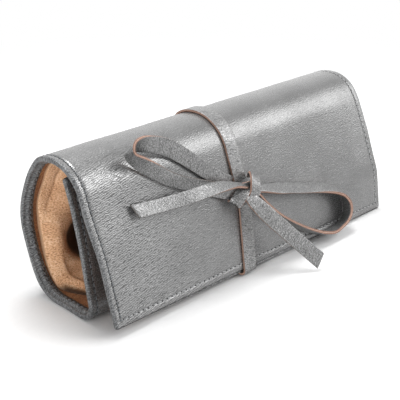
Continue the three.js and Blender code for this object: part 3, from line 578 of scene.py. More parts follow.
def pewter_leather(name, tones, fold, stretch, swirl, calm, past_flap, speckle, relief, roughness):
    """Foil-finished sheep leather: a metal film over soft grain, so it shines broadly; its folds take painted
    shade.

    Fine folds lie fold millimetres apart, about twice as far as in real grain so that they show. stretch
    shortens them along the roll and swirl bends them. They are deepest at the flap's left end and on the
    turned-in edges, where the leather is pulled, fall to the calm share in between, and to the past_flap
    share behind the flap. Their valleys take painted shade in the colour, and where the leather is pulled its
    colour is made lighter: that evens out the painted shade and paints the pulled leather lighter, as painted
    light. A pebble lies over all of it: it stands out most where the leather is loose, and the speckle share
    paints it bright and dark, as painted glints. relief is the height of the grain in millimetres."""
    made, tree, shader = material(name)
    uv = add(tree, "TexCoord").outputs["UV"]
    drift = add(tree, "TexNoise", Vector=uv, Scale=per_mm(DRIFT_FOLDS * fold), Detail=1.0)
    patchy = add(tree, "MapRange", Value=drift, From_Min=DRIFT_LOW, From_Max=DRIFT_HIGH, To_Min=FAINTEST)
    drawn = add(tree, "Mapping", Vector=uv, Scale=(stretch, 1.0, 1.0), Rotation=(0.0, 0.0, GRAIN_SLANT))
    waves = add(tree, "TexWave", {"bands_direction": "Y"}, Vector=drawn, Scale=per_mm(fold) * BAND,
                Distortion=swirl, Detail=1.0, Detail_Scale=GRAIN_DETAIL)
    valley = add(tree, "Math", LESS, i0=waves.outputs["Fac"], i1=1.0)
    ridge = add(tree, "Math", TIMES, i0=valley, i1=patchy)
    pebble = add(tree, "TexNoise", Vector=uv, Scale=per_mm(PEBBLE), Detail=1.0, Roughness=0.5)
    place = add(tree, "SeparateXYZ", Vector=uv)
    left, flap, turned = (
        add(tree, "MapRange", SMOOTH, Value=place.outputs[axis], From_Min=start * MM, From_Max=end * MM,
            To_Min=first, To_Max=last)
        for axis, (start, end), first, last in (
            ("X", PULLED_LEFT, calm, 1.0), ("Y", FLAP_OVER, 1.0, past_flap), ("X", TURNED_IN, 0.0, 1.0)))
    flap_pull = add(tree, "Math", TIMES, i0=left, i1=flap)
    pulled = add(tree, "Math", LARGER, i0=flap_pull, i1=turned)
    crease = add(tree, "Math", TIMES, i0=ridge, i1=pulled)
    raised = add(tree, "Math", TIMES_PLUS, i0=ridge, i1=EVERYWHERE, i2=crease)
    loose = add(tree, "Math", TIMES_PLUS, i0=pulled, i1=PULL_ON_PEBBLE, i2=LOOSE_PEBBLE)
    height = add(tree, "Math", TIMES_PLUS, i0=pebble, i1=loose, i2=raised)
    bump = add(tree, "Bump", Height=height, Strength=1.0, Distance=relief * MM)
    tone = add(tree, "TexNoise", Vector=uv, Scale=per_mm(TONE_PATCH), Detail=4.0, Roughness=0.6)
    even = add(tree, "Math", TIMES_PLUS, i0=tone, i1=TONE_SHARE, i2=TONE_LOW - 0.5 * speckle)
    # Painted light in the colour: the speckle share paints the pebble bright and dark as glints, the pull
    # lightens the leather, and the folds' valleys take painted shade.
    tone_with_painted_glints = add(tree, "Math", TIMES_PLUS, i0=pebble, i1=speckle, i2=even)
    lifted = add(tree, "Math", TIMES_PLUS, i0=pulled, i1=PULL_PAINTED_LIGHT, i2=tone_with_painted_glints)
    shade = add(tree, "Math", TIMES_PLUS, i0=crease, i1=FOLD_PAINTED_SHADE, i2=lifted)
    colour = add(tree, "ValToRGB", {"stops": list(zip((0.0, 0.5, 1.0), tones))}, Fac=shade)
    rough = add(tree, "MapRange", Value=pebble, To_Min=roughness + GLOSS_SPREAD,
                To_Max=roughness - GLOSS_SPREAD)
    feed(shader, Base_Color=colour, Normal=bump, Roughness=rough, Metallic=FOIL)
    return made


EDGE_FIBRE = 0.9
GLUE_LINE, PLY_START = 0.12, 0.32  # from the edge's middle: end of the glue line, and start of a ply


def raw_edge():
    """Cut edge of two bonded plies: brown-pink fibres with a pale glue line between, greyed where the piece
    stores a share of grey.
    """
    made, tree, shader = material("raw_leather_edge")
    uv = add(tree, "TexCoord").outputs["UV"]
    fibre = add(tree, "TexNoise", Vector=uv, Scale=per_mm(EDGE_FIBRE), Detail=4.0, Roughness=0.7)
    clean, glue, grey = (add(tree, "ValToRGB", {"stops": stops}, Fac=fibre) for stops in (
        [(0.3, "#735143"), (0.55, "#997161"), (0.8, "#b28d7c")],
        [(0.3, "#ab8d7c"), (0.7, "#d0b8a8")],
        [(0.3, "#4c4641"), (0.7, "#726b66")]))
    around = add(tree, "SeparateXYZ", Vector=uv).outputs["X"]
    sides = [add(tree, "Math", LESS, i0=around, i1=float(line) * MM) for line in GLUE_LINES]
    near, far = (add(tree, "Math", {"operation": "ABSOLUTE"}, i0=side) for side in sides)
    away = add(tree, "Math", {"operation": "MINIMUM"}, i0=near, i1=far)
    ply = add(tree, "MapRange", SMOOTH, Value=away, From_Min=GLUE_LINE * MM, From_Max=PLY_START * MM)
    plies = add(tree, "Mix", COLOURS, i0=ply, i6=glue, i7=clean)
    # Where the piece stores a share of grey, the edge's colour is mixed towards grey.
    handled = add(tree, "Attribute", {"attribute_name": "handled"}).outputs["Fac"]
    mixed = add(tree, "Mix", COLOURS, i0=handled, i6=plies.outputs[2], i7=grey)
    bump = add(tree, "Bump", Height=fibre, Strength=0.3, Distance=0.2 * MM)
    feed(shader, Base_Color=mixed.outputs[2], Normal=bump, Roughness=0.85)
    return made


NAP = 0.8  # coarser than real nap, so that it shows
BRUSHED_PATCH = 11.0
NAP_SHARE, BRUSHED_SHARE = 0.75, 0.3


def suede(name, dark, middle, light):
    """Brushed split leather: short nap in soft patches, no gloss, a pale sheen at grazing angles.

    Where the piece stores a pressed share, in its hollow and folds, the colour is mixed towards a dark brown:
    painted shade."""
    made, tree, shader = material(name)
    uv = add(tree, "TexCoord").outputs["UV"]
    nap = add(tree, "TexNoise", Vector=uv, Scale=per_mm(NAP), Detail=2.0, Roughness=0.6)
    brushed = add(tree, "TexNoise", Vector=uv, Scale=per_mm(BRUSHED_PATCH), Detail=4.0, Roughness=0.6)
    soft = add(tree, "Math", TIMES, i0=brushed, i1=BRUSHED_SHARE)
    both = add(tree, "Math", TIMES_PLUS, i0=nap, i1=NAP_SHARE, i2=soft)
    colour = add(tree, "ValToRGB", {"stops": [(0.38, dark), (0.52, middle), (0.66, light)]}, Fac=both)
    # Where the pressed share is stored, the colour is mixed towards a dark brown: painted shade.
    pressed = add(tree, "Attribute", {"attribute_name": "pressed"}).outputs["Fac"]
    mixed = add(tree, "Mix", COLOURS, i0=pressed, i6=colour, i7=linear("#3b2416"))
    bump = add(tree, "Bump", Height=nap, Strength=0.9, Distance=0.5 * MM)
    feed(shader, Base_Color=mixed.outputs[2], Normal=bump, Roughness=0.95, Sheen_Weight=0.25,
         Sheen_Tint=linear("#e9c7a6"))
    return made


def flecked(name, size, detail, dark, light, roughness):
    """Plain material in two tones that run softly into each other, in flecks of that size in millimetres.

    Returns the material, its tree and shader, and the outputs for the place and the colour."""
    made, tree, shader = material(name)
    spot = add(tree, "TexCoord").outputs["Object"]
    fleck = add(tree, "TexNoise", Vector=spot, Scale=per_mm(size), Detail=detail)
    colour = add(tree, "ValToRGB", {"stops": [(0.3, dark), (0.7, light)]}, Fac=fleck)
    feed(shader, Base_Color=colour, Roughness=roughness)
    return made, tree, shader, spot, colour


SHADE_FROM, SHADE_TO = -104, -110  # along the roll: from here to there the thread's colour passes into painted shade, for the shaded groove between the folds of the left end


def thread(name, dark, light):
    """Waxed polyester sewing thread: grey, slightly shiny, with a fine twist.

    At the roll's left end its colour is mixed towards a dark grey: painted shade for the groove between the
    leather's folds, where it lies in shadow."""
    made, tree, shader, spot, colour = flecked(name, 0.5, 2.0, dark, light, 0.55)
    across = add(tree, "SeparateXYZ", Vector=spot).outputs["X"]
    # Painted shade: towards the roll's left end the colour is mixed towards a dark grey.
    painted_shade = add(tree, "MapRange", Value=across, From_Min=SHADE_FROM * MM, From_Max=SHADE_TO * MM)
    mixed = add(tree, "Mix", COLOURS, i0=painted_shade, i6=colour, i7=linear("#66696c"))
    feed(shader, Base_Color=mixed.outputs[2])
    return made


def nickel():
    """Nickel-plated die casting: bright, with faint polishing marks."""
    made, tree, shader = material("nickel_plate")
    spot = add(tree, "TexCoord").outputs["Object"]
    mark = add(tree, "TexNoise", Vector=spot, Scale=per_mm(1.5), Detail=3.0)
    rough = add(tree, "MapRange", Value=mark, To_Min=0.18, To_Max=0.34)
    feed(shader, Base_Color=linear("#c4c1ba"), Roughness=rough, Metallic=1.0)
    return made


TAPE_RIB = 1.776  # coarser than the real weave, so that it shows


def zip_tape():
    """Woven polyester zip tape: fine ribs across the tape."""
    made, tree, shader = material("woven_zip_tape")
    spot = add(tree, "TexCoord").outputs["Object"]
    weave = add(tree, "TexWave", {"bands_direction": "X"}, Vector=spot, Scale=per_mm(TAPE_RIB) * BAND,
                Distortion=0.6, Detail=1.0).outputs["Fac"]
    colour = add(tree, "ValToRGB", {"stops": [(0.2, "#8f6a4c"), (0.8, "#b58a68")]}, Fac=weave)
    bump = add(tree, "Bump", Height=weave, Strength=0.4, Distance=0.2 * MM)
    feed(shader, Base_Color=colour, Normal=bump, Roughness=0.9)
    return made


LEATHER = pewter_leather(
    "pewter_foil_leather", ("#484848", "#7c7c7c", "#b0b0b0"), fold=1.08, stretch=0.76, swirl=6.2, calm=0.27,
    past_flap=0.3, speckle=0.5, relief=0.046, roughness=0.27)
TURNED_LEATHER = pewter_leather(
    "pewter_foil_turned_edge", ("#3c3d3e", "#626364", "#959697"), fold=1.4, stretch=0.8, swirl=11.0, calm=0.6,
    past_flap=1.0, speckle=0.9, relief=0.07, roughness=0.5)
LACE_FACE = pewter_leather(
    "pewter_foil_lace", ("#3a3a3a", "#787878", "#c4c4c4"), fold=0.95, stretch=0.9, swirl=9.0, calm=0.7,
    past_flap=1.0, speckle=0.9, relief=0.042, roughness=0.34)
RAW_EDGE = raw_edge()
SUEDE = suede("tan_suede", "#a87450", "#e0af86", "#f5d3b1")
LINING_SUEDE = suede("brown_suede", "#6a4229", "#8d5c3c", "#ad7a52")
THREAD = thread("waxed_thread", "#8f9092", "#c6c7c7")
# Darker copy of the thread: painted shade for the rows that lie in shadow, all but the outer rows of the flap
# and back.
SHADED_THREAD = thread("shaded_waxed_thread", "#6c6f72", "#9a9da0")
# Near-black flecks for the bars sunk at the needle holes: painted shade for the holes.
NEEDLE_HOLE_SHADE = flecked("needle_hole_painted_shade", 0.6, 2.0, "#1f1f20", "#3a3a3b", 0.9)[0]
NICKEL = nickel()
ZIP_TAPE = zip_tape()


# Camera

def aim_camera():
    """Camera at its fitted distance and angles from the target."""
    cosine = math.cos(CAMERA_ELEVATION)
    back = np.array([math.sin(CAMERA_AZIMUTH) * cosine, -math.cos(CAMERA_AZIMUTH) * cosine,
                     math.sin(CAMERA_ELEVATION)])
    camera = link("camera", bpy.data.cameras.new("camera"))
    camera.data.sensor_width = SENSOR
    camera.data.lens = SENSOR * CAMERA_FOCAL
    camera.data.clip_start, camera.data.clip_end = 0.01, 10
    camera.location = (np.array(CAMERA_TARGET) + back * CAMERA_DISTANCE) * MM
    camera.rotation_mode = "QUATERNION"
    camera.rotation_quaternion = Vector(-back).to_track_quat("-Z", "Y")
    bpy.context.scene.camera = camera


aim_camera()


# Lace

BOW_STEPS, KNOT_STEPS = 6, 8  # points for each span of a route
SKEW_REACH = 8.0  # how far a slanted cut reaches into the lace


def lace_rings(places, run, across, width, thickness=1.0, slide=0.0):
    """The lace's section set up along a line, with shares of its width and thickness.

    slide moves it along the lace, in millimetres for each millimetre across."""
    through = np.cross(run, across)
    width, thickness, slide = (np.reshape(share, (-1, 1, 1)) for share in (width, thickness, slide))
    wide, thick = LACE_RING[None, :, :1], LACE_RING[None, :, 1:]
    return (places[:, None] + across[:, None] * (width * wide) + through[:, None] * (thickness * thick)
            + run[:, None] * (slide * wide))


def lace_piece(name, rings, length, nodes, body=None):
    """Closed lace of those rings, foil on its faces and raw leather on its edges and cut ends."""
    piece = swept(name, rings, LACE_ACROSS, length, [LACE_FACE, RAW_EDGE], LACE_CUT)
    return settle(piece, nodes, body)


def bow_lace(name, node, route, build, skew=0.0):
    """One free stretch of the bow on the flap, with its own length.

    The lace's width leans from the flap's face by the route's lean. build gives its share of the full width
    and thickness by the distance from its start, and how grey its edge is, which is stored on it. skew slants
    the cut at its end, in millimetres along the lace for each millimetre across."""
    line = spline(route, BOW_STEPS)
    places, lean = line[:, :3], np.radians(line[:, 3])[:, None]
    run = unit(np.gradient(places, axis=0))
    flat = unit(np.stack([run[:, 1], -run[:, 0], np.zeros(len(run))], -1))
    across = squared(flat * np.cos(lean) + np.array([0, 0, 1.0]) * np.sin(lean), run)
    length = walked(places)
    slide = skew * np.clip(1 - (length[-1] - length) / SKEW_REACH, 0, 1)
    reached, *shares = np.transpose(build)
    width, thickness, greyed = (np.interp(length, reached, share) for share in shares)
    rings = on_flap(lace_rings(places, run, across, width, thickness, slide))
    piece = lace_piece(name, rings, length, [node], "flap")
    store(piece, "handled", np.repeat(greyed, rings.shape[1]))


bow_lace("left_loop_lace", "bow_loop_left", LEFT_LOOP, LEFT_LOOP_BUILD)
bow_lace("right_loop_lace", "bow_loop_right", RIGHT_LOOP, RIGHT_LOOP_BUILD)
bow_lace("left_tail_lace", "bow_tail_left", LEFT_TAIL, LEFT_TAIL_BUILD, skew=0.35)
bow_lace("right_tail_lace", "bow_tail_right", RIGHT_TAIL, RIGHT_TAIL_BUILD, skew=-0.2)


def lace_round(name, start, end, nodes, step=1.5):
    """Stretch of the lace that lies on the roll: its section carried along the lace's outline."""
    s = np.linspace(start, end, max(4, int((end - start) / step)))
    depth = LACE_THICKNESS / 2 + LACE_PRESS - LACE_RING[:, 1]
    x = read(LACE_MIDDLE, s)[:, None] + LACE_RING[None, :, 0]
    return lace_piece(name, LACE.solid(s[:, None], x, depth[None, :]), s, nodes)


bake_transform(lace_round("back_lace", 0, LACE_HEEL, ["lace_over_back", "lace_front_upper"]))
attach(lace_round("base_lace", LACE_HEEL, LACE_JOINT, ["lace_under"]), "body")
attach(lace_round("front_lace", LACE_JOINT, LACE.length, ["lace_front_lower"], step=0.6), "flap")


def knot_strip(name, route, width, share, nodes):
    """Short stretch of lace in the knot, along a route on the flap: its width lies along one direction.

    share is how much of the lace's full width is left where it is gathered."""
    line = spline(np.concatenate([route, np.broadcast_to(width, (len(route), 3))], 1), KNOT_STEPS)
    places = line[:, :3]
    run = unit(np.gradient(places, axis=0))
    rings = lace_rings(places, run, squared(line[:, 3:], run), share)
    lace_piece(name, on_flap(rings), walked(places), nodes, "flap")


knot_strip("knot_turn", [
    (1.4, 49, 3.2), (0.2, 50.3, 5.2), (-1.8, 50.6, 7.6), (-3.8, 49, 9.6), (-5.2, 46.2, 10.5),
    (-6.2, 42.8, 10.2), (-7.4, 39.8, 8.4), (-8, 38.6, 5.8), (-7.8, 38.8, 3.2)],
    [(0.8, -0.6, 0)] * 4 + [(0.88, -0.47, 0)] + [(0.94, -0.34, 0)] * 4, 0.8, ["knot_wrap"])
knot_strip("knot_fold", [
    (-11.6, 46, 2.8), (-15.2, 42.8, 3.2), (-18.4, 40.2, 4.2), (-19.2, 39.6, 5.4), (-18, 40.6, 6.6),
    (-14.6, 43.2, 7.2), (-11, 45.2, 6.6), (-7.6, 46.2, 5.4)], (0.45, -0.6, 0.66), 0.8, ["knot_core"])
knot_strip("knot_heart", [
    (-11, 45.2, 5.2), (-8, 45.2, 6.2), (-4, 44.4, 7), (0.5, 42.8, 6.2)], (0.3, 0.9, 0.25), 0.75, [])


# Rolled panel: soft forms in millimetres

ROUND = 1.1  # rounding of the turned-in leather edge
CORNER_STEPS, BORDER_STEP, LINING_POINTS = 6, 0.5, 60  # spacing of the section's points
BORDER_LAP = 0.3
STITCH_INSET = 4.0
STITCH_DIP, DIP_WIDTH = 0.32, 0.75  # depth and half width of the dip that a row of stitches pulls
FLAP_EDGE = 2.3  # thickness of the flap at its sewn edges
SHELL_EDGE = 3.0  # thickness of the rest of the panel there
PRESSED = (2, 11)  # from an edge: pressed flat up to here, full from there
BEFORE_TOP, PAST_TOP = 5.0, 35.0  # about the flap's top: the panel's edge gets thicker between these
BORDER_RISE = 1.5  # how far the turned-in border slopes up into the roll
BORDER_START = 0.8  # from the edge, where that slope begins
EDGE_WAVE = 0.35
EDGE_WAVE_REACH = 12.0
WAVE, SMALL_WAVE = 0.16, 0.04
WAVE_MARGIN = 8.0  # from the roll's ends, where the waves begin
CALM = 0.9  # share of the waves that is gone on the base
CALM_FROM, CALM_TO = (BASE_START - 6, BASE_START), (FOLD_START, FOLD_START + 6)
CHANNEL_DEPTH = 2.7
CHANNEL_FROM, CHANNEL_TO = (BASE_START - 14, BASE_START - 2), (FOLD_START + 3, FOLD_START + 9)
CHANNEL_SIDE = (LACE_WIDTH / 2 + 0.2, LACE_WIDTH / 2 + 3.0)
# Distance along the panel, and along the lace that runs under it there
LACE_UNDER = [(BASE_START - 34, LACE_HEEL - 12), (BASE_START, LACE_BASE), (FOLD_START, LACE_HEM - 19)]
# Place along the roll, and how far the flap's hem is drawn up there
HEM_HANG = [(-ROLL_HALF, 0.9), (-28, 0), (-6, 0), (ROLL_HALF, -3.2)]
# Along the roll: where the flap's right and left ends begin to bow out, and its left end is drawn in
RIGHT_END, LEFT_END, DRAWN_END = (70, ROLL_HALF - 3), (62, ROLL_HALF), (80, ROLL_HALF)
# Distance from the hem, and how far the flap bows out there at its right and left ends
RIGHT_BOW = [(0, -1.4), (24, 3.2), (29, 3.3), (50, 2.2), (74, 0)]
LEFT_BOW = [(0, 0.5), (10, 1.2), (35, 1.4), (60, 0.3), (78, 0)]
# Distance from the hem, and how far the flap's left end is drawn in
LEFT_DRAWN = [(0, 1), (40, 1), (62, 0)]
INNER_REACH = 3.4  # leather of the inner panel above its board's top
INNER_NOD = 2.4
NOD_LENGTH = 16.0
EDGE_X = edge_spaced(ROLL_LENGTH, margin=9, fine=0.5, coarse=3) - ROLL_HALF


def dip(distance):
    """Dip of the leather along the row of stitches."""
    return STITCH_DIP * bell(distance, STITCH_INSET, DIP_WIDTH)


def channel(s, x):
    """Depth that the base's leather sinks where the lace runs under it."""
    away = np.abs(x - read(LACE_MIDDLE, read(LACE_UNDER, s)))
    return CHANNEL_DEPTH * within(s, CHANNEL_FROM, CHANNEL_TO) * (1 - smooth_step(away, *CHANNEL_SIDE))


def unevenness(s, x):
    """Soft waves in the padded leather, outwards: calm on the base and at the roll's ends."""
    waves = WAVE * ripple(s, x, seed=3, wave=60) + SMALL_WAVE * ripple(s, x, seed=4, wave=23)
    calm = 1 - CALM * within(s, CALM_FROM, CALM_TO)
    return calm * waves * smooth_step(ROLL_HALF - np.abs(x), 0, WAVE_MARGIN)


def panel_point(s, x, depth):
    """Point of the rolled panel: the flap's hem hangs lower to the right, and it bows out near both ends.

    The inner panel's free edge stands a little higher than its board and nods in, away from the flap."""
    s, x, depth = np.broadcast_arrays(s, x, depth)
    hang = read(HEM_HANG, x) * np.clip(1 - s / flap_fall, 0, None)
    right = smooth_step(x, *RIGHT_END) * read(RIGHT_BOW, s)
    left = smooth_step(-x, *LEFT_END) * read(LEFT_BOW, s)
    drawn = smooth_step(-x, *DRAWN_END) * read(LEFT_DRAWN, s)
    free = np.clip((s - PANEL.length + NOD_LENGTH) / NOD_LENGTH, 0, 1) ** 2
    return PANEL.solid(s + hang + INNER_REACH * free, x + drawn, depth - right - left + INNER_NOD * free)


def inner_border(s, x):
    """How far the turned-in border rises into the roll: it slopes up from the edge to the lining."""
    slope = smooth_step(ROLL_HALF - np.abs(x), BORDER_START, BORDER)
    return BORDER_RISE * slope * smooth_step(s, flap_fall, flap_fall + PAST_TOP)


def edge_thickness(s):
    """Thickness of the sewn edge: the flap is pressed thin there, the back and inner panel stay full."""
    full = smooth_step(s, flap_fall - BEFORE_TOP, flap_fall + PAST_TOP)
    return FLAP_EDGE + (SHELL_EDGE - FLAP_EDGE) * full


def from_free_edge(s, start, end):
    """Distance from the one free edge of a stretch: the flap's hem, or the inner panel's top."""
    return s - start if start <= 0 else end - s


def leather_profile():
    """Flat section of the panel, (along the roll, depth): two faces joined by a rounded edge at each end."""
    corner = np.linspace(0, math.pi / 2, CORNER_STEPS)
    straight = ROLL_HALF - ROUND
    outer_x = EDGE_X[np.abs(EDGE_X) < straight]
    lining_x = ROLL_HALF - BORDER
    under_border = lining_x - BORDER_LAP
    inner_x = np.concatenate([
        -np.arange(straight, under_border, -BORDER_STEP), np.linspace(-lining_x, lining_x, LINING_POINTS),
        np.arange(under_border, straight, BORDER_STEP)])[::-1]
    front = np.stack([straight + ROUND * np.sin(corner), ROUND - ROUND * np.cos(corner)], -1)
    back = np.stack([straight + ROUND * np.cos(corner), SHELL - ROUND + ROUND * np.sin(corner)], -1)
    mirror = np.array([-1, 1])
    profile = np.concatenate([
        np.stack([outer_x, np.zeros(len(outer_x))], -1), front, back,
        np.stack([inner_x, np.full(len(inner_x), SHELL)], -1), back[::-1] * mirror, front[::-1] * mirror])
    apart = np.linalg.norm(np.diff(profile, axis=0), axis=1) > 1e-4
    return profile[np.concatenate([[True], apart])]


def panel_leather(name, start, end, nodes):
    """Padded panel: its section carried along the outline, drawn in where it is sewn and at its edge."""
    profile = leather_profile()
    x, depth = profile[None, :, 0], profile[None, :, 1]
    places = edge_spaced(end - start, margin=9, fine=0.6, coarse=1.8) + start
    s = places[:, None]
    off, from_edge = np.abs(x), from_free_edge(s, start, end)
    middle = SHELL / 2
    outer, inner = depth < middle, depth > middle
    curve = np.sqrt(np.clip(ROUND ** 2 - (ROUND - from_edge) ** 2, 0, None))
    rounding = np.where(from_edge < ROUND, ROUND - curve, 0)
    on_face = np.abs(depth - middle) > middle - 1e-6
    sewn = np.maximum(dip(ROLL_HALF - off), dip(from_edge)) * on_face
    lowered = np.where(inner & (off < ROLL_HALF - BORDER) & (from_edge > BORDER), LINING, 0)
    pressed = np.maximum(smooth_step(off, ROLL_HALF - PRESSED[1], ROLL_HALF - PRESSED[0]),
                         1 - smooth_step(from_edge, *PRESSED))
    thin = depth / SHELL * (SHELL - edge_thickness(s)) * pressed
    border = inner_border(s, x) * (inner & (off > ROLL_HALF - BORDER - 0.1))
    sunk = (channel(s, x) - unevenness(s, x)) * outer
    shaped = depth + border + np.where(outer, 1, -1) * (rounding + sewn) - lowered + sunk - thin
    at_end = smooth_step(off, ROLL_HALF - EDGE_WAVE_REACH, ROLL_HALF)
    edge_wave = EDGE_WAVE * ripple(s, 0 * s, seed=5, wave=40) * at_end
    rings = panel_point(s, x * (1 - rounding / ROLL_HALF) + np.sign(x) * edge_wave, shaped)
    turned = (off > ROLL_HALF - ROUND - 0.01) | inner
    across = walked_round(profile) + profile[0, 0]
    piece = swept(name, rings, across, places, [LEATHER, TURNED_LEATHER], turned[0].astype(int))
    return settle(piece, nodes)


rear_nodes = ["flap_leather", "back_leather", "flap_board", "back_board"]
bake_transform(panel_leather("rear_leather", *REAR, rear_nodes))
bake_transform(panel_leather("front_leather", *FRONT, ["inner_leather", "inner_board"]))

LINING_INSET = BORDER - 0.6  # the border's leather overlaps the lining a little
LINING_BACK, LINING_FACE = SHELL - LINING - 0.05, SHELL - 0.35  # depths of the lining's two faces
LINING_PUFF, LINING_WAVE = 0.5, 0.3
PUFF_REACH, FULL_REACH = 6.0, 7.0  # from the lining's edge to its full puff and its full depth


def panel_lining(name, start, end, nodes):
    """Suede lining: a thin sheet inside the turned-in border, puffed a little between its edges."""
    begin, finish = (start + LINING_INSET, end) if start <= 0 else (start, end - LINING_INSET)
    places = edge_spaced(finish - begin, margin=8, fine=1.0, coarse=2.5) + begin
    half = ROLL_HALF - LINING_INSET
    row = edge_spaced(2 * half, margin=8, fine=1.0, coarse=4.0) - half
    profile = np.concatenate([np.stack([row, np.full(len(row), LINING_BACK)], -1),
                              np.stack([row[::-1], np.full(len(row), LINING_FACE)], -1)])
    x, depth, s = profile[None, :, 0], profile[None, :, 1], places[:, None]
    from_end = half - np.abs(x)
    puff = LINING_PUFF * smooth_step(from_end, 0, PUFF_REACH) + LINING_WAVE * ripple(s, x, seed=8, wave=30)
    from_edge = from_free_edge(s, start, end) - LINING_INSET
    full = np.minimum(smooth_step(from_end, 0, FULL_REACH), smooth_step(from_edge, 0, FULL_REACH))
    thin = (1 - full) * (SHELL - edge_thickness(s))
    rings = panel_point(s, x, depth + (depth > SHELL - LINING) * puff - thin)
    across = walked(profile)
    piece = swept(name, rings, np.append(across, across[-1] + LINING), places, [LINING_SUEDE])
    return settle(piece, nodes)


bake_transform(panel_lining("rear_lining", *REAR, ["flap_lining", "back_lining"]))
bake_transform(panel_lining("front_lining", *FRONT, ["inner_lining"]))


# Stitching

STITCH_PITCH = 3.5
STITCH = {"length": 2.5, "radius": 0.36, "rise": (-0.1, 0.25), "slant": 0.12}
HOLE = {"length": 1.5, "radius": 0.75, "rise": (-0.6, -0.46), "slant": 0.0}
BAR_STATIONS = np.array([-1, -0.72, -0.35, 0, 0.35, 0.72, 1])
BAR_CORNERS = 6
BAR_FULL, BAR_TAPER = 1.02, 0.72  # squared thickness in a bar's middle, and what its ends lose of it


def stitch_bars(s, x, run_s, run_x, depth, side, length, radius, rise, slant):
    """Short rounded bars on the panel: a six-sided section, bowed along its length, one for each place.

    s and x place each bar, run_s and run_x give its direction on the panel, and side is 1 outside, -1 inside.
    rise is the height of its two ends and of its middle. Returns points, sides and ends of all bars."""
    turn = np.linspace(0, 2 * math.pi, BAR_CORNERS, endpoint=False)
    thick = radius * np.sqrt(BAR_FULL - BAR_STATIONS ** 2 * BAR_TAPER)
    bow = rise[0] + (rise[1] - rise[0]) * (1 - BAR_STATIONS ** 2)
    lengthwise = BAR_STATIONS[:, None] * length / 2 + 0 * turn
    crosswise = thick[:, None] * np.cos(turn) + slant * lengthwise
    lift = bow[:, None] + thick[:, None] * np.sin(turn)
    s, x, run_s, run_x, depth = (part[:, None, None] for part in (s, x, run_s, run_x, depth))
    at_s, at_x = s + run_s * lengthwise - run_x * crosswise, x + run_x * lengthwise + run_s * crosswise
    points = panel_point(at_s, at_x, depth - side * lift)
    count, stations, corners, _ = points.shape
    ring = np.arange(corners)
    quads = ring_quads(stations, corners)[:, [0, 3, 2, 1]]
    caps = np.stack([ring, (stations - 1) * corners + ring[::-1]])
    first = np.arange(count)[:, None, None] * stations * corners
    sides, ends = (faces[None, :, ::side] + first for faces in (quads, caps))
    return points.reshape(-1, 3), sides.reshape(-1, 4), ends.reshape(-1, corners)


def seam(name, start, end, side):
    """Stitches along both ends of the roll and the free edge of a stretch of the panel, outside or inside.

    Each is a bowed bar of thread, with a needle hole before the next: a near-black bar sunk in the leather,
    painted shade for the hole. Rows that lie in shadow take the thread's darker copy, a painted shade."""
    inset, at_hem = ROLL_HALF - STITCH_INSET, start <= 0
    corner, meeting = STITCH_INSET + STITCH_PITCH * 0.6, 0.5 * STITCH_PITCH
    first, last = (corner, meeting) if at_hem else (meeting, corner)
    places = np.arange(start + first, end - last, STITCH_PITCH)
    row = np.arange(-inset, inset + 0.1, STITCH_PITCH)
    edge = start + STITCH_INSET if at_hem else end - STITCH_INSET
    s, x, run_s, run_x = np.concatenate([np.stack(np.broadcast_arrays(*line)) for line in (
        (places, -inset, 1.0, 0.0), (places, inset, 1.0, 0.0), (edge, row, 0.0, 1.0))], 1)
    outer, inner = STITCH_DIP - unevenness(s, x), edge_thickness(s) + inner_border(s, x) - STITCH_DIP
    depth = outer if side > 0 else inner
    ahead = STITCH_PITCH / 2
    threads = stitch_bars(s, x, run_s, run_x, depth, side, **STITCH)
    holes = stitch_bars(s + run_s * ahead, x + run_x * ahead, run_s, run_x, depth, side, **HOLE)
    points = np.concatenate([threads[0], holes[0]])
    sides, ends = (np.concatenate([threads[k], holes[k] + len(threads[0])]) for k in (1, 2))
    marks = np.concatenate([np.repeat([0, 1], len(threads[k])) for k in (1, 2)])
    # Only the outer rows of the flap and back take the plain thread; the others take its darker copy, a
    # painted shade.
    made = THREAD if side > 0 and at_hem else SHADED_THREAD
    uv = np.zeros((sides.size + ends.size, 2))
    return settle(mesh_piece(name, points, [*sides, *ends], uv, [made, NEEDLE_HOLE_SHADE], marks))


for side, word in ((1, "outer"), (-1, "inner")):
    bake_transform(seam(f"rear_{word}_stitches", *REAR, side))
    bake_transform(seam(f"front_{word}_stitches", *FRONT, side))


# Suede pockets: places are inward from the end, and along the panel from the seam between the two pockets

def panel_place(degrees):
    """Distance along the panel at which its top or back faces that turn."""
    turn = math.radians(degrees)
    run = 1 if turn < back_start else 2
    return PANEL.starts[run] + (turn - PANEL.turns[run]) / PANEL.bends[run]


POCKET_TOP, POCKET_SEAM, POCKET_FOOT = panel_place(12), panel_place(90), BASE_START + 10
UPPER_ZIP, LOWER_ZIP = panel_place(58), panel_place(118)
POCKET_FLOOR = SHELL + 0.3
POCKET_HALF = ROLL_HALF - 8.0
POCKET_EDGE = 1.2
POCKET_CROWN = 11.0
CROWN_RISE = POCKET_CROWN - POCKET_EDGE
SEAT_FLOOR = POCKET_FLOOR + POCKET_CROWN - 1.2
TAPE_HALF = 72.3
TAPE_REACH = 7.4
HOLLOW_MIDDLE, HOLLOW_REACH = (24.5, 18.5), (13.5, 15.5)
HOLLOW_DEPTH = 0.97
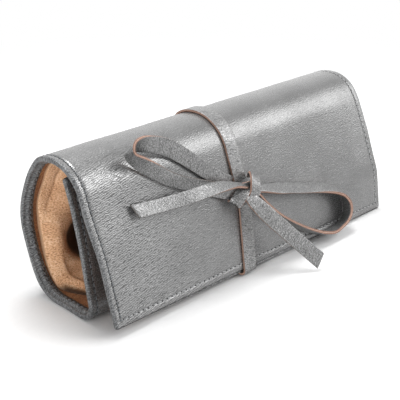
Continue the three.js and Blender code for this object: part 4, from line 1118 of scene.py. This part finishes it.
# Along the panel: how far in the facet's crease lies, and how full the end is
END_CREASE = [(-62, 8), (-34, 6), (-16, 6), (-9, 4.2), (-4, 2.6), (4, 0.8)]
END_FULLNESS = [(-68, 0.05), (-58, 0.4), (-42, 0.9), (-30, 1), (-12, 1), (27, 1), (40, 0.85), (56, 0.65),
                (61, 0.5), (64, 0.15)]
FACET = 2.4  # height of the flat facet at its crease
GROOVE, GROOVE_WIDTH = 0.6, 0.8  # depth and half width of the crease
BANK_END = (16, 30)  # along the panel: the bank passes into the folded cloth over the heel
RIDGE_IN, RIDGE_BASE, RIDGE_PEAK = 5.6, 6.0, 1.1  # place of the folded ridge, height under it, and its own
RIDGE_SLOPE, SLOPE_LENGTH = 0.27, 14.0  # rise of the cloth behind the ridge
HEEL_END = (56, 63)  # along the panel: the folded cloth ends at the foot
BANK_START = (-12, 2)
BANK_HEIGHT, BANK_REACH = 9.4, 9.0
FACET_REACH = 12.0  # from the crease inward to the full height
CROWN_REACH, CROWN_LOW = 15.0, 0.25  # from the end inward to the full crown, and its share at the end
END_ZONE = (14, 36)  # inward: the shaped end passes into the plain crown
WRINKLE = 0.35
WRINKLE_IN, WRINKLE_OFF_SEAM = (1, 9), (2, 20)  # inward, and squared distance from the seam: wrinkles begin
# Along the panel: how far the pocket's end stands out
END_REACH = [(10, 0), (38, 1.8), (44, 1.8), (64, -5.5)]
END_WAVE = 0.5
# Where the suede takes painted shade, stored as its pressed share: shares of the hollow, along the panel and
# inward beside the end, and at the foot
PAINTED_SHADE_HOLLOW = (0.1, 0.7)
PAINTED_SHADE_END, PAINTED_SHADE_IN, PAINTED_SHADE_FOOT = (42, 52), (0.2, 2.6), (60, 63.4)


def pocket_hollow(s, x):
    """Share, 0 to 1, by which the cloth falls back behind the bank at a pocket's end: a soft-edged oval."""
    inward, arc = POCKET_HALF - np.abs(x), s - POCKET_SEAM
    return np.exp(-(((inward - HOLLOW_MIDDLE[0]) / HOLLOW_REACH[0]) ** 2
                    + ((arc - HOLLOW_MIDDLE[1]) / HOLLOW_REACH[1]) ** 2) ** 2)


def pocket_end(inward, arc):
    """Thickness of the cloth near a pocket's end, above its edge.

    There the two pockets share one run of cloth: a flat facet by the hem meets the rest in a slanted crease,
    the cloth swells into a bank below the seam, and over the heel it is folded to a ridge beside the end."""
    crease, full = read(END_CREASE, arc), read(END_FULLNESS, arc)
    heel = within(arc, BANK_END, HEEL_END)
    groove = -GROOVE * (1 - heel) * bell(inward, crease, GROOVE_WIDTH)
    facet = FACET * np.clip(inward / crease, 0, 1)
    near = full * (facet + (CROWN_RISE - FACET) * arch(inward - crease, FACET_REACH) ** 1.2) + groove
    folded = (RIDGE_BASE * arch(inward, RIDGE_IN) + RIDGE_SLOPE * np.clip(inward - RIDGE_IN, 0, SLOPE_LENGTH)
              + RIDGE_PEAK * np.exp(-np.abs(inward - RIDGE_IN)))
    near = near * (1 - heel) + full * folded * heel
    bank = within(arc, BANK_START, BANK_END)
    return near * (1 - bank) + (BANK_HEIGHT * arch(inward + 1, BANK_REACH) + groove) * bank


def pocket_fullness(s, x, start, end, zip_s):
    """Thickness of a pocket: a sine crown between its seams, its ends with their hollow, and fine wrinkles.

    Under the zip it is pressed down to the tape's seat."""
    inward, arc = POCKET_HALF - np.abs(x), s - POCKET_SEAM
    crown = CROWN_RISE * np.clip(np.sin(math.pi * (s - start) / (end - start)), 0, 1) ** 0.8
    full = crown * (CROWN_LOW + (1 - CROWN_LOW) * arch(inward, CROWN_REACH))
    share = 1 - smooth_step(inward, *END_ZONE)
    hollow = pocket_hollow(s, x)
    wrinkle = (WRINKLE * ripple(s * 1.3, x * 0.8, seed=21, wave=13) * smooth_step(inward, *WRINKLE_IN)
               * smooth_step(arc ** 2, *WRINKLE_OFF_SEAM))
    cloth = full * (1 - share) + pocket_end(inward, arc) * share
    thickness = cloth * (1 - HOLLOW_DEPTH * hollow) + POCKET_EDGE + wrinkle * (1 - hollow)
    on_seat = (np.abs(s - zip_s) < TAPE_REACH + 0.5) & (np.abs(x) < TAPE_HALF + 0.6)
    seated = np.where(on_seat, np.minimum(thickness, SEAT_FLOOR - POCKET_FLOOR), thickness)
    return np.clip(seated, 0.8, POCKET_CROWN)


def pocket_piece(name, node, start, end, zip_s):
    """Closed suede pad: a face at its fullness above the lining, and a flat back. Its lower corners are cut.

    Painted shade is stored on it as the pressed share: in the hollow, beside the end below the seam, and at
    the foot."""
    places = edge_spaced(end - start, margin=6, fine=0.8, coarse=1.4) + start
    x = edge_spaced(2 * POCKET_HALF, margin=36, fine=0.7, coarse=3.0) - POCKET_HALF
    s = places[:, None]
    arc, inward = s - POCKET_SEAM, POCKET_HALF - np.abs(x)
    outer = np.sign(x) * smooth_step(np.abs(x), POCKET_HALF - END_ZONE[0], POCKET_HALF)
    at_x = x + (END_WAVE * ripple(s, 0 * s, seed=31, wave=24) + read(END_REACH, arc)) * outer
    over = PANEL.solid(s, at_x, POCKET_FLOOR + pocket_fullness(s, x[None, :], start, end, zip_s))
    under = PANEL.solid(s, at_x[:, ::-1], POCKET_FLOOR - 0.4)
    across = np.concatenate([x, 2 * POCKET_HALF + 1 - x[::-1] + x[0], [4 * POCKET_HALF]])
    piece = swept(name, np.concatenate([over, under], 1), across, places, [SUEDE])
    # Painted shade, stored as the pressed share: in the hollow, beside the end below the seam, and at the
    # foot.
    beside_end = smooth_step(arc, *PAINTED_SHADE_END) * (1 - smooth_step(inward, *PAINTED_SHADE_IN))
    hollow = smooth_step(pocket_hollow(s, x[None, :]), *PAINTED_SHADE_HOLLOW)
    painted_shade = np.maximum(hollow, np.maximum(beside_end, smooth_step(arc, *PAINTED_SHADE_FOOT)))
    store(piece, "pressed", np.concatenate([painted_shade, painted_shade[:, ::-1]], 1))
    settle(piece, [node], "body")


pocket_piece("upper_suede_pocket", "upper_pocket", POCKET_TOP, POCKET_SEAM, UPPER_ZIP)
pocket_piece("lower_suede_pocket", "lower_pocket", POCKET_SEAM, POCKET_FOOT, LOWER_ZIP)


# Zips

TAPE_GAP = 0.4  # from the zip's middle to each tape
TAPE_LOW, TAPE_HIGH, TAPE_ROUND = SEAT_FLOOR + 0.3, SEAT_FLOOR + 1.1, 0.3
TAPE_WAVE = 0.1
TAPE_POINTS = 120
TOOTH_PITCH = 2.2
TEETH_HALF = 66.0
TOOTH = np.array([(-0.62, 2.1), (0.62, 2.1), (0.62, 0.4), (0.42, -0.9), (-0.42, -0.9), (-0.62, 0.4)])
TOOTH_FOOT = SEAT_FLOOR + 1.4
# Share of the tooth's outline, and depth
TOOTH_LAYERS = [(1.0, TOOTH_FOOT), (1.0, TOOTH_FOOT + 1.0), (0.72, TOOTH_FOOT + 1.38)]


def inside_place(s, x, back, depth):
    """Point in the flat frame inside the roll at a distance along the panel: along the roll, back, and in."""
    place, turn = PANEL.at(s)
    y_z = place - along(turn) * np.asarray(back)[..., None] - outward(turn) * np.asarray(depth)[..., None]
    return np.concatenate([np.broadcast_to(x, y_z.shape[:-1])[..., None], y_z], -1)


def rounded_bar(low, high, radius):
    """Closed rounded rectangle from its low and high corners: a quarter circle at each corner."""
    swing = np.linspace(0, math.pi / 2, 4)
    corner = np.stack([np.cos(swing), np.sin(swing)], -1) * radius
    (x0, y0), (x1, y1) = low, high
    turns = [(x1 - radius, y1 - radius, 1, 1), (x0 + radius, y1 - radius, -1, 1),
             (x0 + radius, y0 + radius, -1, -1), (x1 - radius, y0 + radius, 1, -1)]
    parts = []
    for k, (cx, cy, sx, sy) in enumerate(turns):
        part = corner[::-1] if k % 2 else corner
        parts.append(np.array([cx, cy]) + part * np.array([sx, sy]))
    return np.concatenate(parts)


def zip_tape_half(name, node, zip_s, side):
    """One half of a woven tape: a thin flat bar with a rounded selvedge, carried along the roll."""
    low, high = sorted((side * TAPE_GAP, side * TAPE_REACH))
    profile = rounded_bar((low, TAPE_LOW), (high, TAPE_HIGH), TAPE_ROUND)
    x = np.linspace(-TAPE_HALF, TAPE_HALF, TAPE_POINTS)
    lift = TAPE_WAVE * ripple(x, 0 * x, seed=41 + side, wave=24)
    depth = profile[None, :, 1] + lift[:, None]
    rings = inside_place(zip_s, x[:, None], np.broadcast_to(profile[None, :, 0], depth.shape), depth)
    settle(swept(name, rings, walked_round(profile), x, [ZIP_TAPE]), [node], "body")


def zip_teeth(name, node, zip_s):
    """Chain of cast teeth: blunt six-sided teeth that reach over the middle by turns from both tapes."""
    x = np.arange(-TEETH_HALF + TOOTH_PITCH / 2, TEETH_HALF, TOOTH_PITCH / 2)
    side = np.where(np.arange(len(x)) % 2, 1.0, -1.0)[:, None, None]
    layers, corners = len(TOOTH_LAYERS), len(TOOTH)
    rings = np.stack([np.concatenate([TOOTH * share, np.full((corners, 1), depth)], 1)
                      for share, depth in TOOTH_LAYERS])
    back = side * rings[None, ..., 1]
    points = inside_place(zip_s, x[:, None, None] + rings[None, ..., 0], back,
                          np.broadcast_to(rings[None, ..., 2], back.shape))
    ring = np.arange(corners)
    caps = np.stack([ring[::-1], (layers - 1) * corners + ring])
    first = layers * corners * np.arange(len(x))[:, None, None]
    sides, ends = (np.where(side > 0, faces[None, :, ::-1], faces[None]) + first
                   for faces in (ring_quads(layers, corners), caps))
    faces = [*sides.reshape(-1, 4), *ends.reshape(-1, corners)]
    uv = np.zeros((sides.size + ends.size, 2))
    piece = mesh_piece(name, points.reshape(-1, 3), faces, uv, [NICKEL], smooth=False)
    settle(piece, [node], "body")


for word, zip_s in (("upper", UPPER_ZIP), ("lower", LOWER_ZIP)):
    zip_tape_half(f"{word}_woven_tape_top", f"{word}_zip_tape_top", zip_s, 1)
    zip_tape_half(f"{word}_woven_tape_bottom", f"{word}_zip_tape_bottom", zip_s, -1)
    zip_teeth(f"{word}_tooth_chain", f"{word}_zip_teeth", zip_s)


# Ring bar

BAR_S = PANEL.length - inner_rise + 33.0
BAR_AXIS = SHELL + 0.4 + 6.0
BAR_HALF = 82.0
BAR_RADIUS = 5.9
BAR_END = 4.5  # length of the drawn-in end
BAR_GIRTH = 37.0
BAR_SIDES = 40
BAR_TIP = 0.35  # share of the radius at the very end
GATHERS, GATHER_DEPTH = 11, 0.22
BAR_WAVE = 0.12
SEAM_DIP, SEAM_WIDTH = 0.25, 0.09  # depth of the bar's long seam, and its half width in radians
STRAP_HALF, STRAP_ROUND = 0.65, 0.45  # half thickness of the straps, and the rounding of their edges
STRAP_STEPS = 6


def ring_bar():
    """Padded suede roll: a circle carried along the bar, drawn in at its ends and slightly uneven."""
    x = edge_spaced(2 * BAR_HALF, margin=8, fine=0.6, coarse=3) - BAR_HALF
    turn = np.linspace(0, 2 * math.pi, BAR_SIDES, endpoint=False)
    end = np.clip((BAR_HALF - np.abs(x)) / BAR_END, 0, 1)[:, None]
    drawn_in = BAR_RADIUS * (BAR_TIP + (1 - BAR_TIP) * np.sqrt(1 - (1 - end) ** 2))
    gather = GATHER_DEPTH * np.sin(GATHERS * turn) * (1 - smooth_step(end, 0.3, 1))
    uneven = BAR_WAVE * ripple(x[:, None], 6 * turn[None], seed=51, wave=19) * smooth_step(end, 0.5, 1)
    radius = drawn_in + gather + uneven - SEAM_DIP * bell(turn, math.pi / 2, SEAM_WIDTH)
    rings = inside_place(BAR_S, x[:, None], radius * np.cos(turn), BAR_AXIS + radius * np.sin(turn))
    piece = swept("padded_ring_bar", rings, np.linspace(0, BAR_GIRTH, BAR_SIDES + 1), x, [SUEDE])
    settle(piece, ["ring_bar"], "ring_bar")


def bent_strap(name, node, route, width, body):
    """Suede strap: a thin rounded section carried along a bent route of (along the roll, depth) points."""
    line = spline(np.array([(x, depth, 0.0) for x, depth in route]), STRAP_STEPS)[:, :2]
    run = unit(np.gradient(line, axis=0))
    normal = np.stack([-run[:, 1], run[:, 0]], -1)
    profile = rounded_bar((-width / 2, -STRAP_HALF), (width / 2, STRAP_HALF), STRAP_ROUND)
    middle = line[:, None] + normal[:, None] * profile[None, :, 1:]
    x, depth = middle[..., 0], middle[..., 1]
    rings = inside_place(BAR_S, x, np.broadcast_to(profile[None, :, 0], x.shape), depth)
    settle(swept(name, rings, walked_round(profile), walked(line), [SUEDE]), [node], body)


ring_bar()
bent_strap("anchor_strap", "ring_bar_anchor", [
    (-100.3, 5.3), (-94, 5.3), (-88, 5.3), (-84.6, 5.5), (-83.2, 6.6), (-83.1, 8.4), (-83.1, 10.5)],
    16.0, "inner_panel")
bent_strap("tab_strap", "ring_bar_tab", [
    (104.3, 8.0), (96, 8.0), (88, 8.0), (84.6, 8.2), (83.3, 8.9), (83.1, 9.8), (83.1, 10.6)],
    13.0, "ring_bar")


# Solids that keep their shape, all nickel: the zips' sliders, pulls and stops, and the snap

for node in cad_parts.values():
    if not node.hide_render:
        node.data.materials.clear()
        node.data.materials.append(NICKEL)


# Floor, light and background, in metres

WHITE = (1, 1, 1, 1)
FLOOR_HALF = 3.0
WHITE_FROM, WHITE_TO = 0.16, 0.55  # from the roll's middle: the floor passes into plain white
SKY_STRENGTH = 0.47


def seen_directly(tree):
    """Node that gives 1 for rays by which the camera sees a surface, also through a mirror or glass."""
    path = add(tree, "LightPath").outputs
    clear = add(tree, "Math", LARGER, i0=path["Is Glossy Ray"], i1=path["Is Transmission Ray"])
    return add(tree, "Math", LARGER, i0=path["Is Camera Ray"], i1=clear)


def floor_material():
    """Matte white paper sweep: a faint fibre keeps it from looking like plastic, and it takes the shadow.

    Away from the roll it passes into plain white, as a lit sweep does."""
    made, tree, shader, spot, _ = flecked("white_paper_sweep", 3.0, 3.0, "#f7f7f7", "#f9f9f9", 1.0)
    away = add(tree, "VectorMath", {"operation": "LENGTH"}, i0=spot).outputs["Value"]
    far = add(tree, "MapRange", SMOOTH, Value=away, From_Min=WHITE_FROM, From_Max=WHITE_TO)
    bright = add(tree, "Math", TIMES, i0=far, i1=seen_directly(tree))
    white = add(tree, "Emission", Color=WHITE, Strength=1.0)
    feed(tree.nodes["Material Output"], Surface=add(tree, "MixShader", i0=bright, i1=shader, i2=white))
    return made


def add_floor():
    """Flat square floor round the roll, which belongs to the stage."""
    mesh = bpy.data.meshes.new("floor")
    corners = [(x * FLOOR_HALF, y * FLOOR_HALF, 0) for x, y in ((-1, -1), (1, -1), (1, 1), (-1, 1))]
    mesh.from_pydata(corners, [], [(0, 1, 2, 3)])
    mesh.materials.append(floor_material())
    link("floor", mesh)


def add_softbox(name, place, target, size, power, roll=0.0):
    """Soft rectangular lamp aimed at a target and rolled by degrees. The camera does not see it."""
    light = bpy.data.lights.new(name, "AREA")
    light.shape = "RECTANGLE"
    light.size, light.size_y = size
    light.energy = power
    lamp = link(name, light)
    lamp.location = place
    lamp.rotation_mode = "QUATERNION"
    aim = (Vector(target) - Vector(place)).to_track_quat("-Z", "Y")
    lamp.rotation_quaternion = aim @ Quaternion((0, 0, 1), math.radians(roll))
    lamp.visible_camera = False
    return lamp


def light_studio():
    """White surround that lights the roll softly, and four softboxes. The left one leaves no reflection."""
    world = bpy.data.worlds.new("studio")
    bpy.context.scene.world = world
    world.use_nodes = True
    tree = world.node_tree
    sky = tree.nodes["Background"]
    feed(sky, Color=WHITE, Strength=SKY_STRENGTH)
    white = add(tree, "Background", Color=WHITE, Strength=1.0)
    feed(tree.nodes["World Output"], Surface=add(tree, "MixShader", i0=seen_directly(tree), i1=sky, i2=white))
    add_softbox("key_softbox", (0.08, 0.3, 1.1), target=(0, 0, 0.03), size=(0.5, 0.5), power=8.8)
    add_softbox("front_softbox", (0.60, -0.51, 0.565), target=(0, -0.012, 0.077), size=(0.66, 0.58),
                power=4.4, roll=-36)
    add_softbox("back_softbox", (0.73, 0.64, 0.5), target=(0, 0.006, 0.085), size=(0.66, 0.95),
                power=0.8, roll=23)
    fill = add_softbox("left_softbox", (-0.85, -0.05, 0.18), target=(-0.1, 0.01, 0.04), size=(0.5, 0.25),
                       power=2.1)
    fill.visible_glossy = False


add_floor()
light_studio()
bpy.context.scene.view_settings.view_transform = "Standard"
